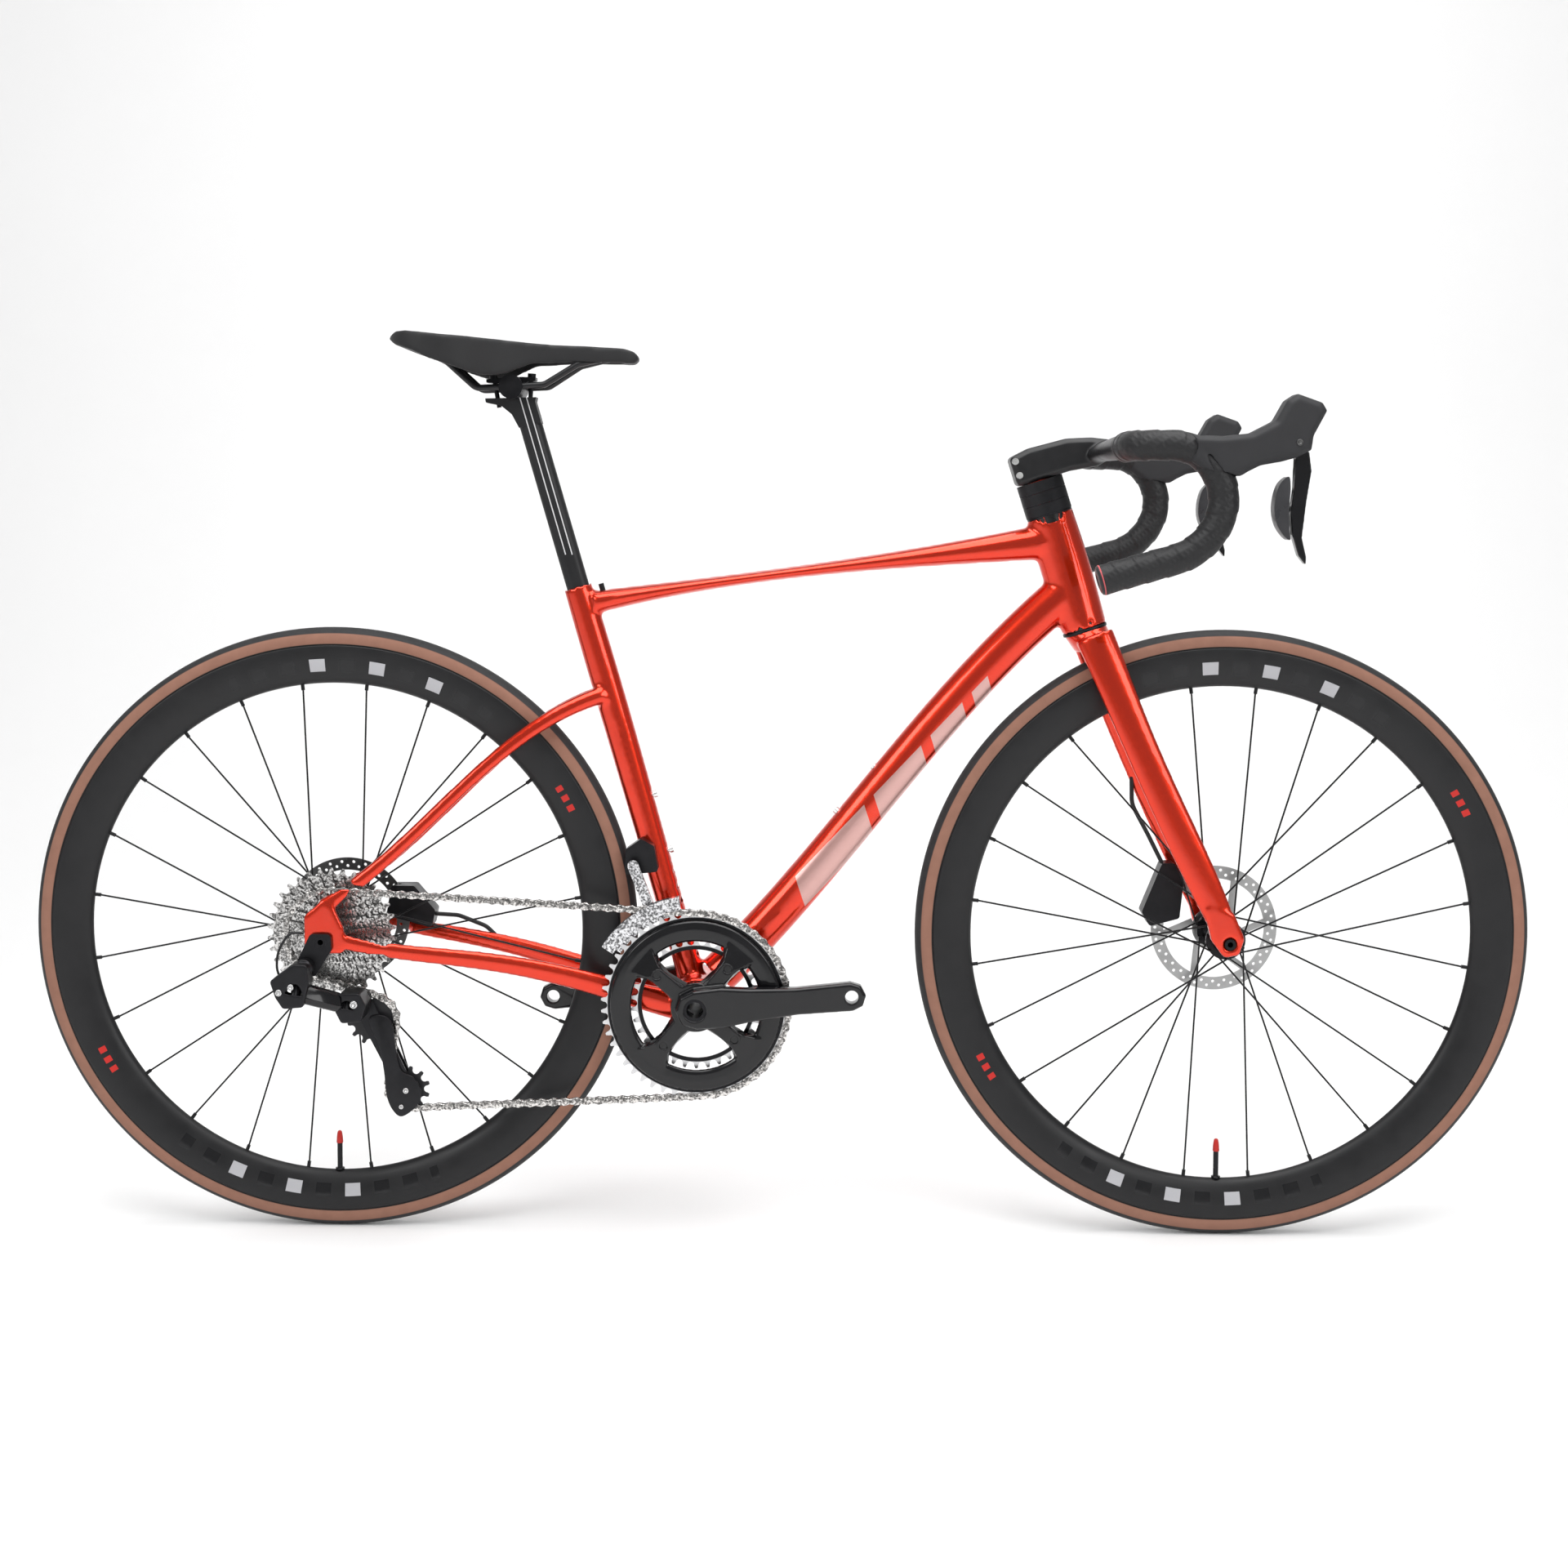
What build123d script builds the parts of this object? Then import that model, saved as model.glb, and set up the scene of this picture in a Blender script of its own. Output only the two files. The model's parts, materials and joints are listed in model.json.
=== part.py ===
from build123d import *
import math
import os

# Road bicycle, millimetres. +X forward, +Y to the rider's left, +Z up.
# The origin lies on the ground, midway between the two axles.

# ---- overall sizes ----
WHEELBASE = 978.8
TYRE_R = 336.0
HEAD_ANGLE = 72.4
FORK_RAKE = 44.0
SEAT_ANGLE = 73.9
CHAINSTAY_RUN = 403.0
BB_DROP = 73.5
HEAD_LOW = 367.0
HEAD_LENGTH = 131.5
SEAT_TUBE_TOP = 474.0

# ---- wheels ----
TYRE_SECTION_R = 13.4
TYRE_WALL = 2.2
RIM_DEPTH = 42.5
RIM_HALF_WIDTH = 13.6
RIM_LIP = 19.5
RIM_WALL = 1.9
SPOKE_COUNT = 24
SPOKE_R = 1.0
ROTOR_R = 70.0
ROTOR_THICK = 1.8
AXLE_R = 6.0
RUNNING = 0.05
FRONT_HUB_HALF = 50.0
REAR_HUB_HALF = 71.0
ROTOR_INSET = 15.0

# ---- drive ----
CHAIN_PITCH = 12.7
ROLLER_R = 3.85
RING_TEETH = 50
SMALL_RING_TEETH = 34
COG_TEETH = [11, 12, 13, 14, 15, 17, 19, 21, 24, 27, 30, 34]
REST_COG = 8
GUIDE_TEETH = 13
TENSION_TEETH = 11
COG_SPACING = 3.65
COG_THICK = 1.5
SMALLEST_COG_Y = -67.0
RING_Y = -46.0
RING_SPACING = 6.5
CRANK_LENGTH = 170.0
CRANK_TILT = 5.4
SPINDLE_R = 12.0
PEDAL_BORE_R = 7.14
BB_SHELL_R = 22.0
BB_SHELL_HALF = 38.0

# ---- seat and bars ----
POST_DEPTH = 25.0
POST_WIDTH = 18.0
POST_FIT = 0.08
BAR_R = 11.9
TAPE_R = 15.8
BAR_HALF = 205.0
STEERER_R = 14.3

os.makedirs("parts", exist_ok=True)

REAR = Vector(-WHEELBASE / 2, 0, TYRE_R)
FRONT = Vector(WHEELBASE / 2, 0, TYRE_R)
BB = REAR + Vector(CHAINSTAY_RUN, 0, -BB_DROP)
HEAD = math.radians(HEAD_ANGLE)
SEAT = math.radians(SEAT_ANGLE)
STEER_UP = Vector(-math.cos(HEAD), 0, math.sin(HEAD))
STEER_FORE = Vector(math.sin(HEAD), 0, math.cos(HEAD))
SEAT_UP = Vector(-math.cos(SEAT), 0, math.sin(SEAT))
SEAT_FORE = Vector(math.sin(SEAT), 0, math.cos(SEAT))
STEER_FOOT = FRONT - STEER_FORE * FORK_RAKE
HEAD_TOP = HEAD_LOW + HEAD_LENGTH


def rear(x, z, y=0.0):
    """A point from the rear axle."""
    return REAR + Vector(x, y, z)


def front(x, z, y=0.0):
    """A point from the front axle."""
    return FRONT + Vector(x, y, z)


def bb(x, z, y=0.0):
    """A point from the bottom bracket's centre."""
    return BB + Vector(x, y, z)


def steer(up, fore, y=0.0):
    """A point up the steering axis and in front of it."""
    return STEER_FOOT + STEER_UP * up + STEER_FORE * fore + Vector(0, y, 0)


def stem(up, fore, y=0.0):
    """A point of the cockpit, counted up from the head tube's top."""
    return steer(HEAD_TOP + up, fore, y)


def seat(up, fore, y=0.0):
    """A point up the seat tube and in front of its axis."""
    return BB + SEAT_UP * up + SEAT_FORE * fore + Vector(0, y, 0)


def across(point, run, side=(0, 1, 0)):
    """The plane square to a run at a point, with its local x across the bicycle."""
    return Plane(origin=point, x_dir=side, z_dir=run)


def side_plane(y):
    """A plane seen from the drive side: local x forward, local y up, facing -Y."""
    return Plane.XZ.offset(-y)


def flat(points):
    """Points of the side view as local coordinates of side_plane."""
    return [(p.X, p.Z) for p in points]


def tube(stations, run=None):
    """A lofted tube through (point, width across, depth) stations, square to its run."""
    with BuildPart() as piece:
        for i, (point, width, depth) in enumerate(stations):
            before = stations[max(i - 1, 0)][0]
            after = stations[min(i + 1, len(stations) - 1)][0]
            with BuildSketch(across(point, run or after - before)):
                Ellipse(width / 2, depth / 2)
        loft(ruled=len(stations) == 2)
    return piece.part


def rod(start, end, radius):
    """A round rod between two points."""
    with BuildPart() as piece:
        with BuildSketch(across(start, end - start, (0.02, 1, 0.03))):
            Circle(radius)
        extrude(amount=(end - start).length)
    return piece.part


def pipe(points, bend, radius, bore=0.0):
    """A round bar bent through the points, hollow if it has a bore."""
    with BuildPart() as piece:
        with BuildLine() as path:
            FilletPolyline(*points, radius=bend)
        with BuildSketch(across(path.line @ 0, path.line % 0, (0.02, 1, 0.03))):
            Circle(radius)
            if bore:
                Circle(bore, mode=Mode.SUBTRACT)
        sweep(path=path.line)
    return piece.part


def plate(points, y_near, y_far, corner=0.0):
    """A flat plate: a side-view outline between two places across the bicycle."""
    with BuildPart() as piece:
        with BuildSketch(side_plane(y_far)) as outline:
            with BuildLine():
                Polyline(*flat(points), close=True)
            make_face()
            if corner:
                fillet(outline.vertices(), corner)
        extrude(amount=y_far - y_near)
    return piece.part


def turned(centre, profile):
    """A ring turned about +Y from (radius, y) points of its section."""
    with BuildPart() as piece:
        with BuildSketch(Plane(origin=centre)):
            with BuildLine():
                Polyline(*profile, close=True)
            make_face()
        revolve(axis=Axis(tuple(centre), (0, 1, 0)))
    return piece.part


def disc(centre, radius, y_near, y_far, bore=0.0):
    """A round disc or washer about +Y, between two places across the bicycle."""
    profile = [(bore, y_near), (radius, y_near), (radius, y_far), (bore, y_far)]
    return turned(centre, profile)


def save(piece, name):
    """Label one finished piece and write it."""
    piece.label = name
    export_step(piece, f"parts/{name}.step")


# ---- frame ----
TUBE_WALL = 2.4
TOP_TUBE = [(seat(452, 12), 30, 26), (seat(447, 60), 32, 20), (steer(HEAD_TOP - 10, -110), 34, 26),
            (steer(HEAD_TOP - 31, 6), 36, 42)]
DOWN_TUBE = [(bb(22, 24), 44, 46), (bb(140, 156), 38, 45), (steer(HEAD_LOW + 12, -76), 38, 45),
             (steer(HEAD_LOW + 44, -8), 38, 46)]
SEAT_TUBE = [(seat(8, -1), 34, 32), (seat(230, -1), 27, 32), (seat(400, -1), 27, 33),
             (seat(SEAT_TUBE_TOP, -1.5), 27, 31)]
SEAT_TUBE_CORE = [(seat(8, -1), 34, 32), (seat(230, -1), 27, 32), (seat(320, -1), 27, 33)]
HEAD_TUBE = [(steer(HEAD_LOW, 0.5), 46, 49), (steer(HEAD_LOW + 60, 0), 41, 54),
             (steer(HEAD_TOP, 0.5), 43, 51)]


def slimmer(stations):
    """The hollow inside a tube: the same stations, less the wall."""
    return [(p, w - 2 * TUBE_WALL, d - 2 * TUBE_WALL) for p, w, d in stations]


with BuildPart() as post_bore:
    with BuildSketch(across(seat(300, -1.2), SEAT_UP)):
        SlotOverall(POST_DEPTH + 2 * POST_FIT, POST_WIDTH + 2 * POST_FIT, rotation=90)
    extrude(amount=SEAT_TUBE_TOP)

CLAMP_BOLT_R = 3.0
BOSS_SPACING = 64.0
BOSS_R = 2.5
SEAT_BOSSES = [(seat(166, 15), SEAT_FORE), (seat(166 + BOSS_SPACING, 15), SEAT_FORE)]
down_run = (DOWN_TUBE[2][0] - DOWN_TUBE[1][0]).normalized()
down_out = Vector(-down_run.Z, 0, down_run.X)
DOWN_BOSSES = [(DOWN_TUBE[1][0] + down_run * d + down_out * 22.5, down_out) for d in (48, 48 + BOSS_SPACING)]
BOSSES = SEAT_BOSSES + DOWN_BOSSES

with BuildPart() as front_triangle:
    for stations in (HEAD_TUBE, TOP_TUBE, DOWN_TUBE, SEAT_TUBE):
        add(tube(stations))
    add(disc(BB, BB_SHELL_R + 5, -BB_SHELL_HALF, BB_SHELL_HALF))
    for stations in (TOP_TUBE, DOWN_TUBE, SEAT_TUBE_CORE):
        add(tube(slimmer(stations)), mode=Mode.SUBTRACT)
    add(disc(BB, BB_SHELL_R, -BB_SHELL_HALF - 1, BB_SHELL_HALF + 1), mode=Mode.SUBTRACT)
    add(rod(steer(HEAD_LOW - 60, 0), steer(HEAD_LOW, 0), 48.0), mode=Mode.SUBTRACT)
    add(rod(steer(HEAD_LOW - 2, 0), steer(HEAD_TOP + 2, 0), 18.0), mode=Mode.SUBTRACT)
    add(rod(steer(HEAD_LOW - 2, 0), steer(HEAD_LOW + 9, 0), 21.0), mode=Mode.SUBTRACT)
    add(rod(steer(HEAD_TOP - 9, 0), steer(HEAD_TOP + 2, 0), 21.0), mode=Mode.SUBTRACT)
    add(post_bore.part, mode=Mode.SUBTRACT)
    add(rod(seat(440, 24), seat(480, 24), CLAMP_BOLT_R), mode=Mode.SUBTRACT)
    for point, out in BOSSES:
        add(rod(point - out * 12, point + out * 8, BOSS_R), mode=Mode.SUBTRACT)
save(front_triangle.part, "front_triangle")

# ---- rear stays, one moulded piece with its dropouts ----
DROPOUT_THICK = 7.0


def stay_pair():
    """Seat stay, chain stay and dropout of the left side."""
    with BuildPart() as half:
        add(tube([(seat(352, -6, 9), 16, 20), (rear(236, 234, 27), 11, 17),
                  (rear(100, 117, 55), 10, 15), (rear(2, 38, 74), 7.5, 17)]))
        add(tube([(bb(-18, -6, 24), 22, 34), (rear(300, -57, 30), 13, 26),
                  (rear(215, -34, 44), 12, 22), (rear(90, -14, 66), 10, 18), (rear(6, 4, 74), 7.4, 17)]))
        add(plate([rear(-19, 28), rear(2, 46), rear(14, 36), rear(24, 14), rear(24, -14),
                   rear(2, -14), rear(-19, -6)], REAR_HUB_HALF, REAR_HUB_HALF + DROPOUT_THICK, 5))
    return half.part


with BuildPart() as rear_stays:
    left_stay = stay_pair()
    add(left_stay)
    mirror(left_stay, about=Plane.XZ)
    add(rod(rear(0, 0, -90), rear(0, 0, 90), AXLE_R + RUNNING), mode=Mode.SUBTRACT)
    add(tube(SEAT_TUBE), mode=Mode.SUBTRACT)
    add(tube(DOWN_TUBE), mode=Mode.SUBTRACT)
    add(disc(BB, BB_SHELL_R + 5, -BB_SHELL_HALF, BB_SHELL_HALF), mode=Mode.SUBTRACT)
    add(disc(BB, BB_SHELL_R + 5.5, -60, 60), mode=Mode.SUBTRACT)
    add(disc(REAR, REAR_HUB_HALF - 0.2, -REAR_HUB_HALF, REAR_HUB_HALF), mode=Mode.SUBTRACT)
save(rear_stays.part, "rear_stays")

HANGER_Y = -REAR_HUB_HALF - DROPOUT_THICK
with BuildPart() as derailleur_hanger:
    add(plate([rear(-11, 9), rear(11, 9), rear(12, -8), rear(-6, -37), rear(-24, -37), rear(-26, -22)],
              HANGER_Y - 5, HANGER_Y, 5))
    add(rod(rear(0, 0, -95), rear(0, 0, -70), AXLE_R + RUNNING), mode=Mode.SUBTRACT)
    add(rod(rear(-15.8, -26, -95), rear(-15.8, -26, -70), 5.0), mode=Mode.SUBTRACT)
save(derailleur_hanger.part, "derailleur_hanger")

# ---- bottom bracket ----
BEARING_R = 18.5
with BuildPart() as bottom_bracket_cups:
    for side in (-1, 1):
        lip = BB_SHELL_HALF + 1.5
        add(turned(BB, [(BEARING_R, side * 28), (BB_SHELL_R, side * 28), (BB_SHELL_R, side * BB_SHELL_HALF),
                        (BB_SHELL_R + 2, side * BB_SHELL_HALF), (BB_SHELL_R + 2, side * lip),
                        (BEARING_R, side * lip)]))
save(bottom_bracket_cups.part, "bottom_bracket_cups")

with BuildPart() as bottom_bracket_bearings:
    for side in (-1, 1):
        y_in, y_out = sorted((side * 31, side * (BB_SHELL_HALF + 1)))
        add(disc(BB, BEARING_R, y_in, y_out, SPINDLE_R + RUNNING))
save(bottom_bracket_bearings.part, "bottom_bracket_bearings")

with BuildPart() as headset_bearings:
    for low in (HEAD_LOW + 1, HEAD_TOP - 9):
        add(rod(steer(low, 0), steer(low + 8, 0), 21.0))
        add(rod(steer(low - 1, 0), steer(low + 9, 0), STEERER_R + RUNNING), mode=Mode.SUBTRACT)
save(headset_bearings.part, "headset_bearings")

with BuildPart() as bottle_bolts:
    for point, out in BOSSES:
        add(rod(point - out * 10, point + out * 1.0, BOSS_R))
        add(rod(point, point + out * 4.0, 4.2))
    add(front_triangle.part, mode=Mode.SUBTRACT)
save(bottle_bolts.part, "bottle_bolts")

with BuildPart() as seat_clamp:
    add(rod(seat(446, 24), seat(470, 24), CLAMP_BOLT_R))
save(seat_clamp.part, "seat_clamp")

AXLE_END = REAR_HUB_HALF + DROPOUT_THICK
with BuildPart() as rear_thru_axle:
    add(rod(rear(0, 0, -AXLE_END - 5), rear(0, 0, AXLE_END + 4), AXLE_R))
    add(rod(rear(0, 0, AXLE_END), rear(0, 0, AXLE_END + 4), 9.0))
    add(rod(rear(0, 0, -AXLE_END - 6), rear(0, 0, AXLE_END + 5), 3.0), mode=Mode.SUBTRACT)
save(rear_thru_axle.part, "rear_thru_axle")

# ---- wheels ----
RIM_OUTER = TYRE_R - RIM_LIP
RIM_INNER = RIM_OUTER - RIM_DEPTH
TYRE_CENTRE_R = TYRE_R - TYRE_SECTION_R
SPOKE_STEP = 360 / SPOKE_COUNT
FLANGE_HALF = 1.3
HUB_BORE_R = 8.0
BEARING_OUT_R = 11.0
END_GAP = 0.4


def wheel_rim(axle):
    """A deep hollow rim with its spoke holes."""
    bed = RIM_OUTER - 6
    w = RIM_HALF_WIDTH
    with BuildPart() as rim:
        add(turned(axle, [(RIM_INNER, -4), (RIM_INNER + 8, -8.5), (RIM_INNER + 24, -w), (RIM_OUTER, -w + 0.8),
                          (RIM_OUTER, -w + 3.2), (bed, -w + 3.2), (bed, w - 3.2), (RIM_OUTER, w - 3.2),
                          (RIM_OUTER, w - 0.8), (RIM_INNER + 24, w), (RIM_INNER + 8, 8.5), (RIM_INNER, 4)]))
        add(turned(axle, [(RIM_INNER + RIM_WALL, -2.5), (RIM_INNER + 9, -6.5), (RIM_INNER + 24, -w + RIM_WALL),
                          (bed - RIM_WALL, -w + RIM_WALL + 1.6), (bed - RIM_WALL, w - RIM_WALL - 1.6),
                          (RIM_INNER + 24, w - RIM_WALL), (RIM_INNER + 9, 6.5),
                          (RIM_INNER + RIM_WALL, 2.5)]), mode=Mode.SUBTRACT)
        for k in range(SPOKE_COUNT):
            a = math.radians(k * SPOKE_STEP + SPOKE_STEP / 2)
            out = Vector(math.cos(a), 0, math.sin(a))
            add(rod(axle + out * (RIM_INNER - 3), axle + out * (RIM_INNER + 6), 2.6), mode=Mode.SUBTRACT)
    return rim.part


def wheel_tyre(axle, rim):
    """A tyre whose beads sit between the rim's flanges."""
    with BuildPart() as tyre:
        with BuildSketch(Plane(origin=axle)):
            with Locations((TYRE_CENTRE_R, 0)):
                Circle(TYRE_SECTION_R)
                Circle(TYRE_SECTION_R - TYRE_WALL, mode=Mode.SUBTRACT)
            with Locations((RIM_OUTER - 5.9 - 50, 0)):
                Rectangle(100, 60, mode=Mode.SUBTRACT)
        revolve(axis=Axis(tuple(axle), (0, 1, 0)))
        add(rim, mode=Mode.SUBTRACT)
    return tyre.part


def wheel_spokes(axle, flange_y, flange_r):
    """Crossed spokes from the two flanges, each ending in its nipple in the rim."""
    with BuildPart() as spokes:
        for k in range(SPOKE_COUNT):
            side = 1 if k % 2 else -1
            lead = 1 if (k // 2) % 2 else -1
            a = math.radians(k * SPOKE_STEP + SPOKE_STEP / 2)
            b = a + lead * math.radians(4 * SPOKE_STEP)
            out = Vector(math.cos(a), 0, math.sin(a))
            hub = axle + Vector(math.cos(b), 0, math.sin(b)) * flange_r
            hub += Vector(0, side * (flange_y[(side + 1) // 2] + lead * 3.5), 0)
            head = Vector(0, -side * lead * (3.5 - FLANGE_HALF), 0)
            seat_end = axle + out * (RIM_INNER - 6) + Vector(0, side * 1.2, 0)
            add(rod(hub + head, hub - head * 0.7, SPOKE_R + 0.4))
            add(rod(hub, seat_end, SPOKE_R))
            add(rod(seat_end, axle + out * (RIM_INNER + 5), 2.0))
    return spokes.part


def wheel_hub(axle, half, flange_y, flange_r, rotor_y, bearing_y, right_cap):
    """A hub shell about its thru axle, with bores for the bearings."""
    right, left = flange_y
    with BuildPart() as hub:
        f = FLANGE_HALF
        edge = flange_r + 1.5
        bore = HUB_BORE_R
        add(turned(axle, [(bore, -right - 4), (13, -right - 4), (15, -right - f), (edge, -right - f),
                          (edge, -right + f), (16, -right + f), (12, -right + 9), (12, left - 9),
                          (16, left - f), (edge, left - f), (edge, left + f), (17, left + f),
                          (17, rotor_y - 2), (15, rotor_y - 2), (15, rotor_y + 3), (bore, rotor_y + 3)]))
        add(disc(axle, 10.0, rotor_y + 3, half - END_GAP, bore))
        if right_cap:
            add(disc(axle, 10.0, END_GAP - half, -right - 4, bore))
        for y in bearing_y:
            add(disc(axle, BEARING_OUT_R, y - 4, y + 4, 7.0), mode=Mode.SUBTRACT)
    return hub.part


def wheel_bearings(axle, bearing_y):
    """Sealed bearings that run on the thru axle."""
    with BuildPart() as bearings:
        for y in bearing_y:
            add(disc(axle, BEARING_OUT_R, y - 4, y + 4, AXLE_R + RUNNING))
    return bearings.part


def brake_rotor(axle, y):
    """A vented brake rotor with a spidered carrier, its bore over the hub's spline."""
    with BuildPart() as rotor:
        with BuildSketch(side_plane(y - ROTOR_THICK / 2)):
            with Locations((axle.X, axle.Z)):
                Circle(ROTOR_R)
                Circle(ROTOR_R - 14, mode=Mode.SUBTRACT)
                with PolarLocations(ROTOR_R - 4.6, 30):
                    Circle(1.7, mode=Mode.SUBTRACT)
                with PolarLocations(ROTOR_R - 9.4, 30, start_angle=6):
                    Circle(1.7, mode=Mode.SUBTRACT)
                Circle(24)
                with PolarLocations(40, 6):
                    Rectangle(36, 7, rotation=24)
                Circle(15, mode=Mode.SUBTRACT)
        extrude(amount=-ROTOR_THICK)
    return rotor.part


FRONT_FLANGES = (34.0, 21.0)
REAR_FLANGES = (18.0, 37.0)
FRONT_ROTOR_Y = FRONT_HUB_HALF - ROTOR_INSET
REAR_ROTOR_Y = REAR_HUB_HALF - ROTOR_INSET
WHEELS = [("front", FRONT, FRONT_HUB_HALF, FRONT_FLANGES, 20.0, FRONT_ROTOR_Y, (-32, 28)),
          ("rear", REAR, REAR_HUB_HALF, REAR_FLANGES, 22.0, REAR_ROTOR_Y, (-14, 46))]
for name, axle, half, flanges, flange_r, rotor_y, bearing_y in WHEELS:
    rim = wheel_rim(axle)
    save(rim, f"{name}_rim")
    save(wheel_tyre(axle, rim), f"{name}_tyre")
    save(wheel_spokes(axle, flanges, flange_r), f"{name}_spokes")
    save(wheel_hub(axle, half, flanges, flange_r, rotor_y, bearing_y, name == "front"), f"{name}_hub")
    save(wheel_bearings(axle, bearing_y), f"{name}_hub_bearings")
    save(brake_rotor(axle, rotor_y), f"{name}_rotor")

# ---- chain line ----
COG_Y = [SMALLEST_COG_Y + COG_SPACING * i for i in range(len(COG_TEETH))]
REST_Y = COG_Y[REST_COG]
GUIDE = rear(47, -94)
CAGE_LENGTH = 85.5
CAGE_REST = -61.0


def pitch_r(teeth):
    """The pitch circle on which one tooth takes one link of arc."""
    return teeth * CHAIN_PITCH / (2 * math.pi)


def chain_loop(cage_angle):
    """Wheels of the chain's path: centre x and z, pitch radius, turn, y and the two tangent angles."""
    a = math.radians(cage_angle)
    tension = GUIDE + Vector(math.cos(a), 0, math.sin(a)) * CAGE_LENGTH
    stops = [(REAR, COG_TEETH[REST_COG], 1, REST_Y), (BB, RING_TEETH, 1, RING_Y),
             (tension, TENSION_TEETH, 1, REST_Y), (GUIDE, GUIDE_TEETH, -1, REST_Y)]
    leave = []
    for (c1, n1, s1, _), (c2, n2, s2, _) in zip(stops, stops[1:] + stops[:1]):
        d = c2 - c1
        run = math.atan2(d.Z, d.X) - math.asin((s1 * pitch_r(n1) - s2 * pitch_r(n2)) / d.length)
        leave.append(run)
    path = []
    for i, (c, n, s, y) in enumerate(stops):
        wrap = (s * (leave[i - 1] - leave[i])) % (2 * math.pi)
        path.append((c, pitch_r(n), s, y, leave[i - 1], wrap))
    return path


def side_point(stop, turn):
    """The pin's place and heading after a turn round one wheel."""
    c, r, s, y, heading, _ = stop
    h = heading - s * turn
    return Vector(c.X - s * r * math.sin(h), y, c.Z + s * r * math.cos(h)), h


def loop_length(path):
    """Arcs and straight runs of the whole loop."""
    total = 0.0
    for stop, after in zip(path, path[1:] + path[:1]):
        end = side_point(stop, stop[5])[0]
        begin = side_point(after, 0)[0]
        total += stop[1] * stop[5] + math.hypot(begin.X - end.X, begin.Z - end.Z)
    return total


# The cage turns until the loop is a whole number of link pairs.
LINK_COUNT = 2 * round(loop_length(chain_loop(CAGE_REST)) / CHAIN_PITCH / 2)
low, high = CAGE_REST - 25, CAGE_REST + 25
for _ in range(40):
    middle = (low + high) / 2
    longer = loop_length(chain_loop(middle)) > LINK_COUNT * CHAIN_PITCH
    grows = loop_length(chain_loop(high)) > loop_length(chain_loop(low))
    if longer == grows:
        high = middle
    else:
        low = middle
CAGE_ANGLE = (low + high) / 2
CHAIN = chain_loop(CAGE_ANGLE)
print("links", LINK_COUNT, "cage angle", round(CAGE_ANGLE, 2))


# The chain leaves each wheel square to it and crosses over in the middle of the run.
CROSS_FROM = 0.17


def pin_at(distance):
    """The chain pin a distance along the loop from the cog's first touch."""
    left = distance
    for stop, after in zip(CHAIN, CHAIN[1:] + CHAIN[:1]):
        arc = stop[1] * stop[5]
        if left <= arc:
            return side_point(stop, left / stop[1])[0]
        left -= arc
        start = side_point(stop, stop[5])[0]
        end = side_point(after, 0)[0]
        run = math.hypot(end.X - start.X, end.Z - start.Z)
        if left <= run:
            share = min(max((left / run - CROSS_FROM) / (1 - 2 * CROSS_FROM), 0), 1)
            point = start + (end - start) * (left / run)
            return Vector(point.X, start.Y + (end.Y - start.Y) * share, point.Z)
        left -= run
    return side_point(CHAIN[0], 0)[0]


PINS = [pin_at(i * CHAIN_PITCH) for i in range(LINK_COUNT)]


def tooth_phase(stop):
    """The angle in degrees of one pin that rests on a wheel."""
    c, r = stop[0], stop[1]
    near = min(PINS, key=lambda p: abs(math.hypot(p.X - c.X, p.Z - c.Z) - r) + abs(p.Y - stop[3]) * 9)
    return math.degrees(math.atan2(near.Z - c.Z, near.X - c.X))


def toothed(centre, teeth, y, thick, bore, phase, tip=3.0, flare=2.4):
    """A toothed disc in mesh with the chain, with a round bore."""
    r = pitch_r(teeth)
    w = ROLLER_R + 0.15
    with BuildSketch() as gap:
        Circle(w)
        with BuildLine():
            Polyline((0, -w), (tip + 2, -w - flare), (tip + 2, w + flare), (0, w), close=True)
        make_face()
    with BuildPart() as wheel:
        with BuildSketch(side_plane(y - thick / 2)):
            with Locations((centre.X, centre.Z)):
                Circle(r + tip)
                with PolarLocations(r, teeth, start_angle=phase):
                    add(gap.sketch, mode=Mode.SUBTRACT)
                Circle(bore, mode=Mode.SUBTRACT)
        extrude(amount=-thick)
    return wheel.part


FREEHUB_R = 17.0
cog_phase = tooth_phase(CHAIN[0])
with BuildPart() as cassette:
    for i, teeth in enumerate(COG_TEETH):
        phase = cog_phase if i == REST_COG else 0
        add(toothed(REAR, teeth, COG_Y[i], COG_THICK, FREEHUB_R, phase))
        if i < len(COG_TEETH) - 1:
            gap_half = COG_THICK / 2
            add(disc(REAR, FREEHUB_R + 2.6 + 1.6 * i, COG_Y[i] + gap_half - 0.2, COG_Y[i + 1] - gap_half + 0.2,
                     FREEHUB_R))
    add(disc(REAR, FREEHUB_R + 1.5, SMALLEST_COG_Y - 2.6, SMALLEST_COG_Y, 13.0))
save(cassette.part, "cassette")

with BuildPart() as freehub:
    add(turned(REAR, [(AXLE_R + RUNNING, -69), (12.9, -69), (12.9, -66.2), (FREEHUB_R - 0.05, -66.2),
                      (FREEHUB_R - 0.05, -23.5), (AXLE_R + RUNNING, -23.5)]))
save(freehub.part, "freehub")

# ---- chain ----
LINK_INNER = (1.15, 1.95)
LINK_OUTER = (2.0, 2.65)


def link_place(i):
    """The place of link i: origin between its pins, local x along it, local y across the bicycle."""
    start, end = PINS[i], PINS[(i + 1) % LINK_COUNT]
    run = end - start
    up = run.cross(Vector(0, 1, 0))
    return Plane(origin=(start + end) * 0.5, x_dir=run, z_dir=up).location


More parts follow.
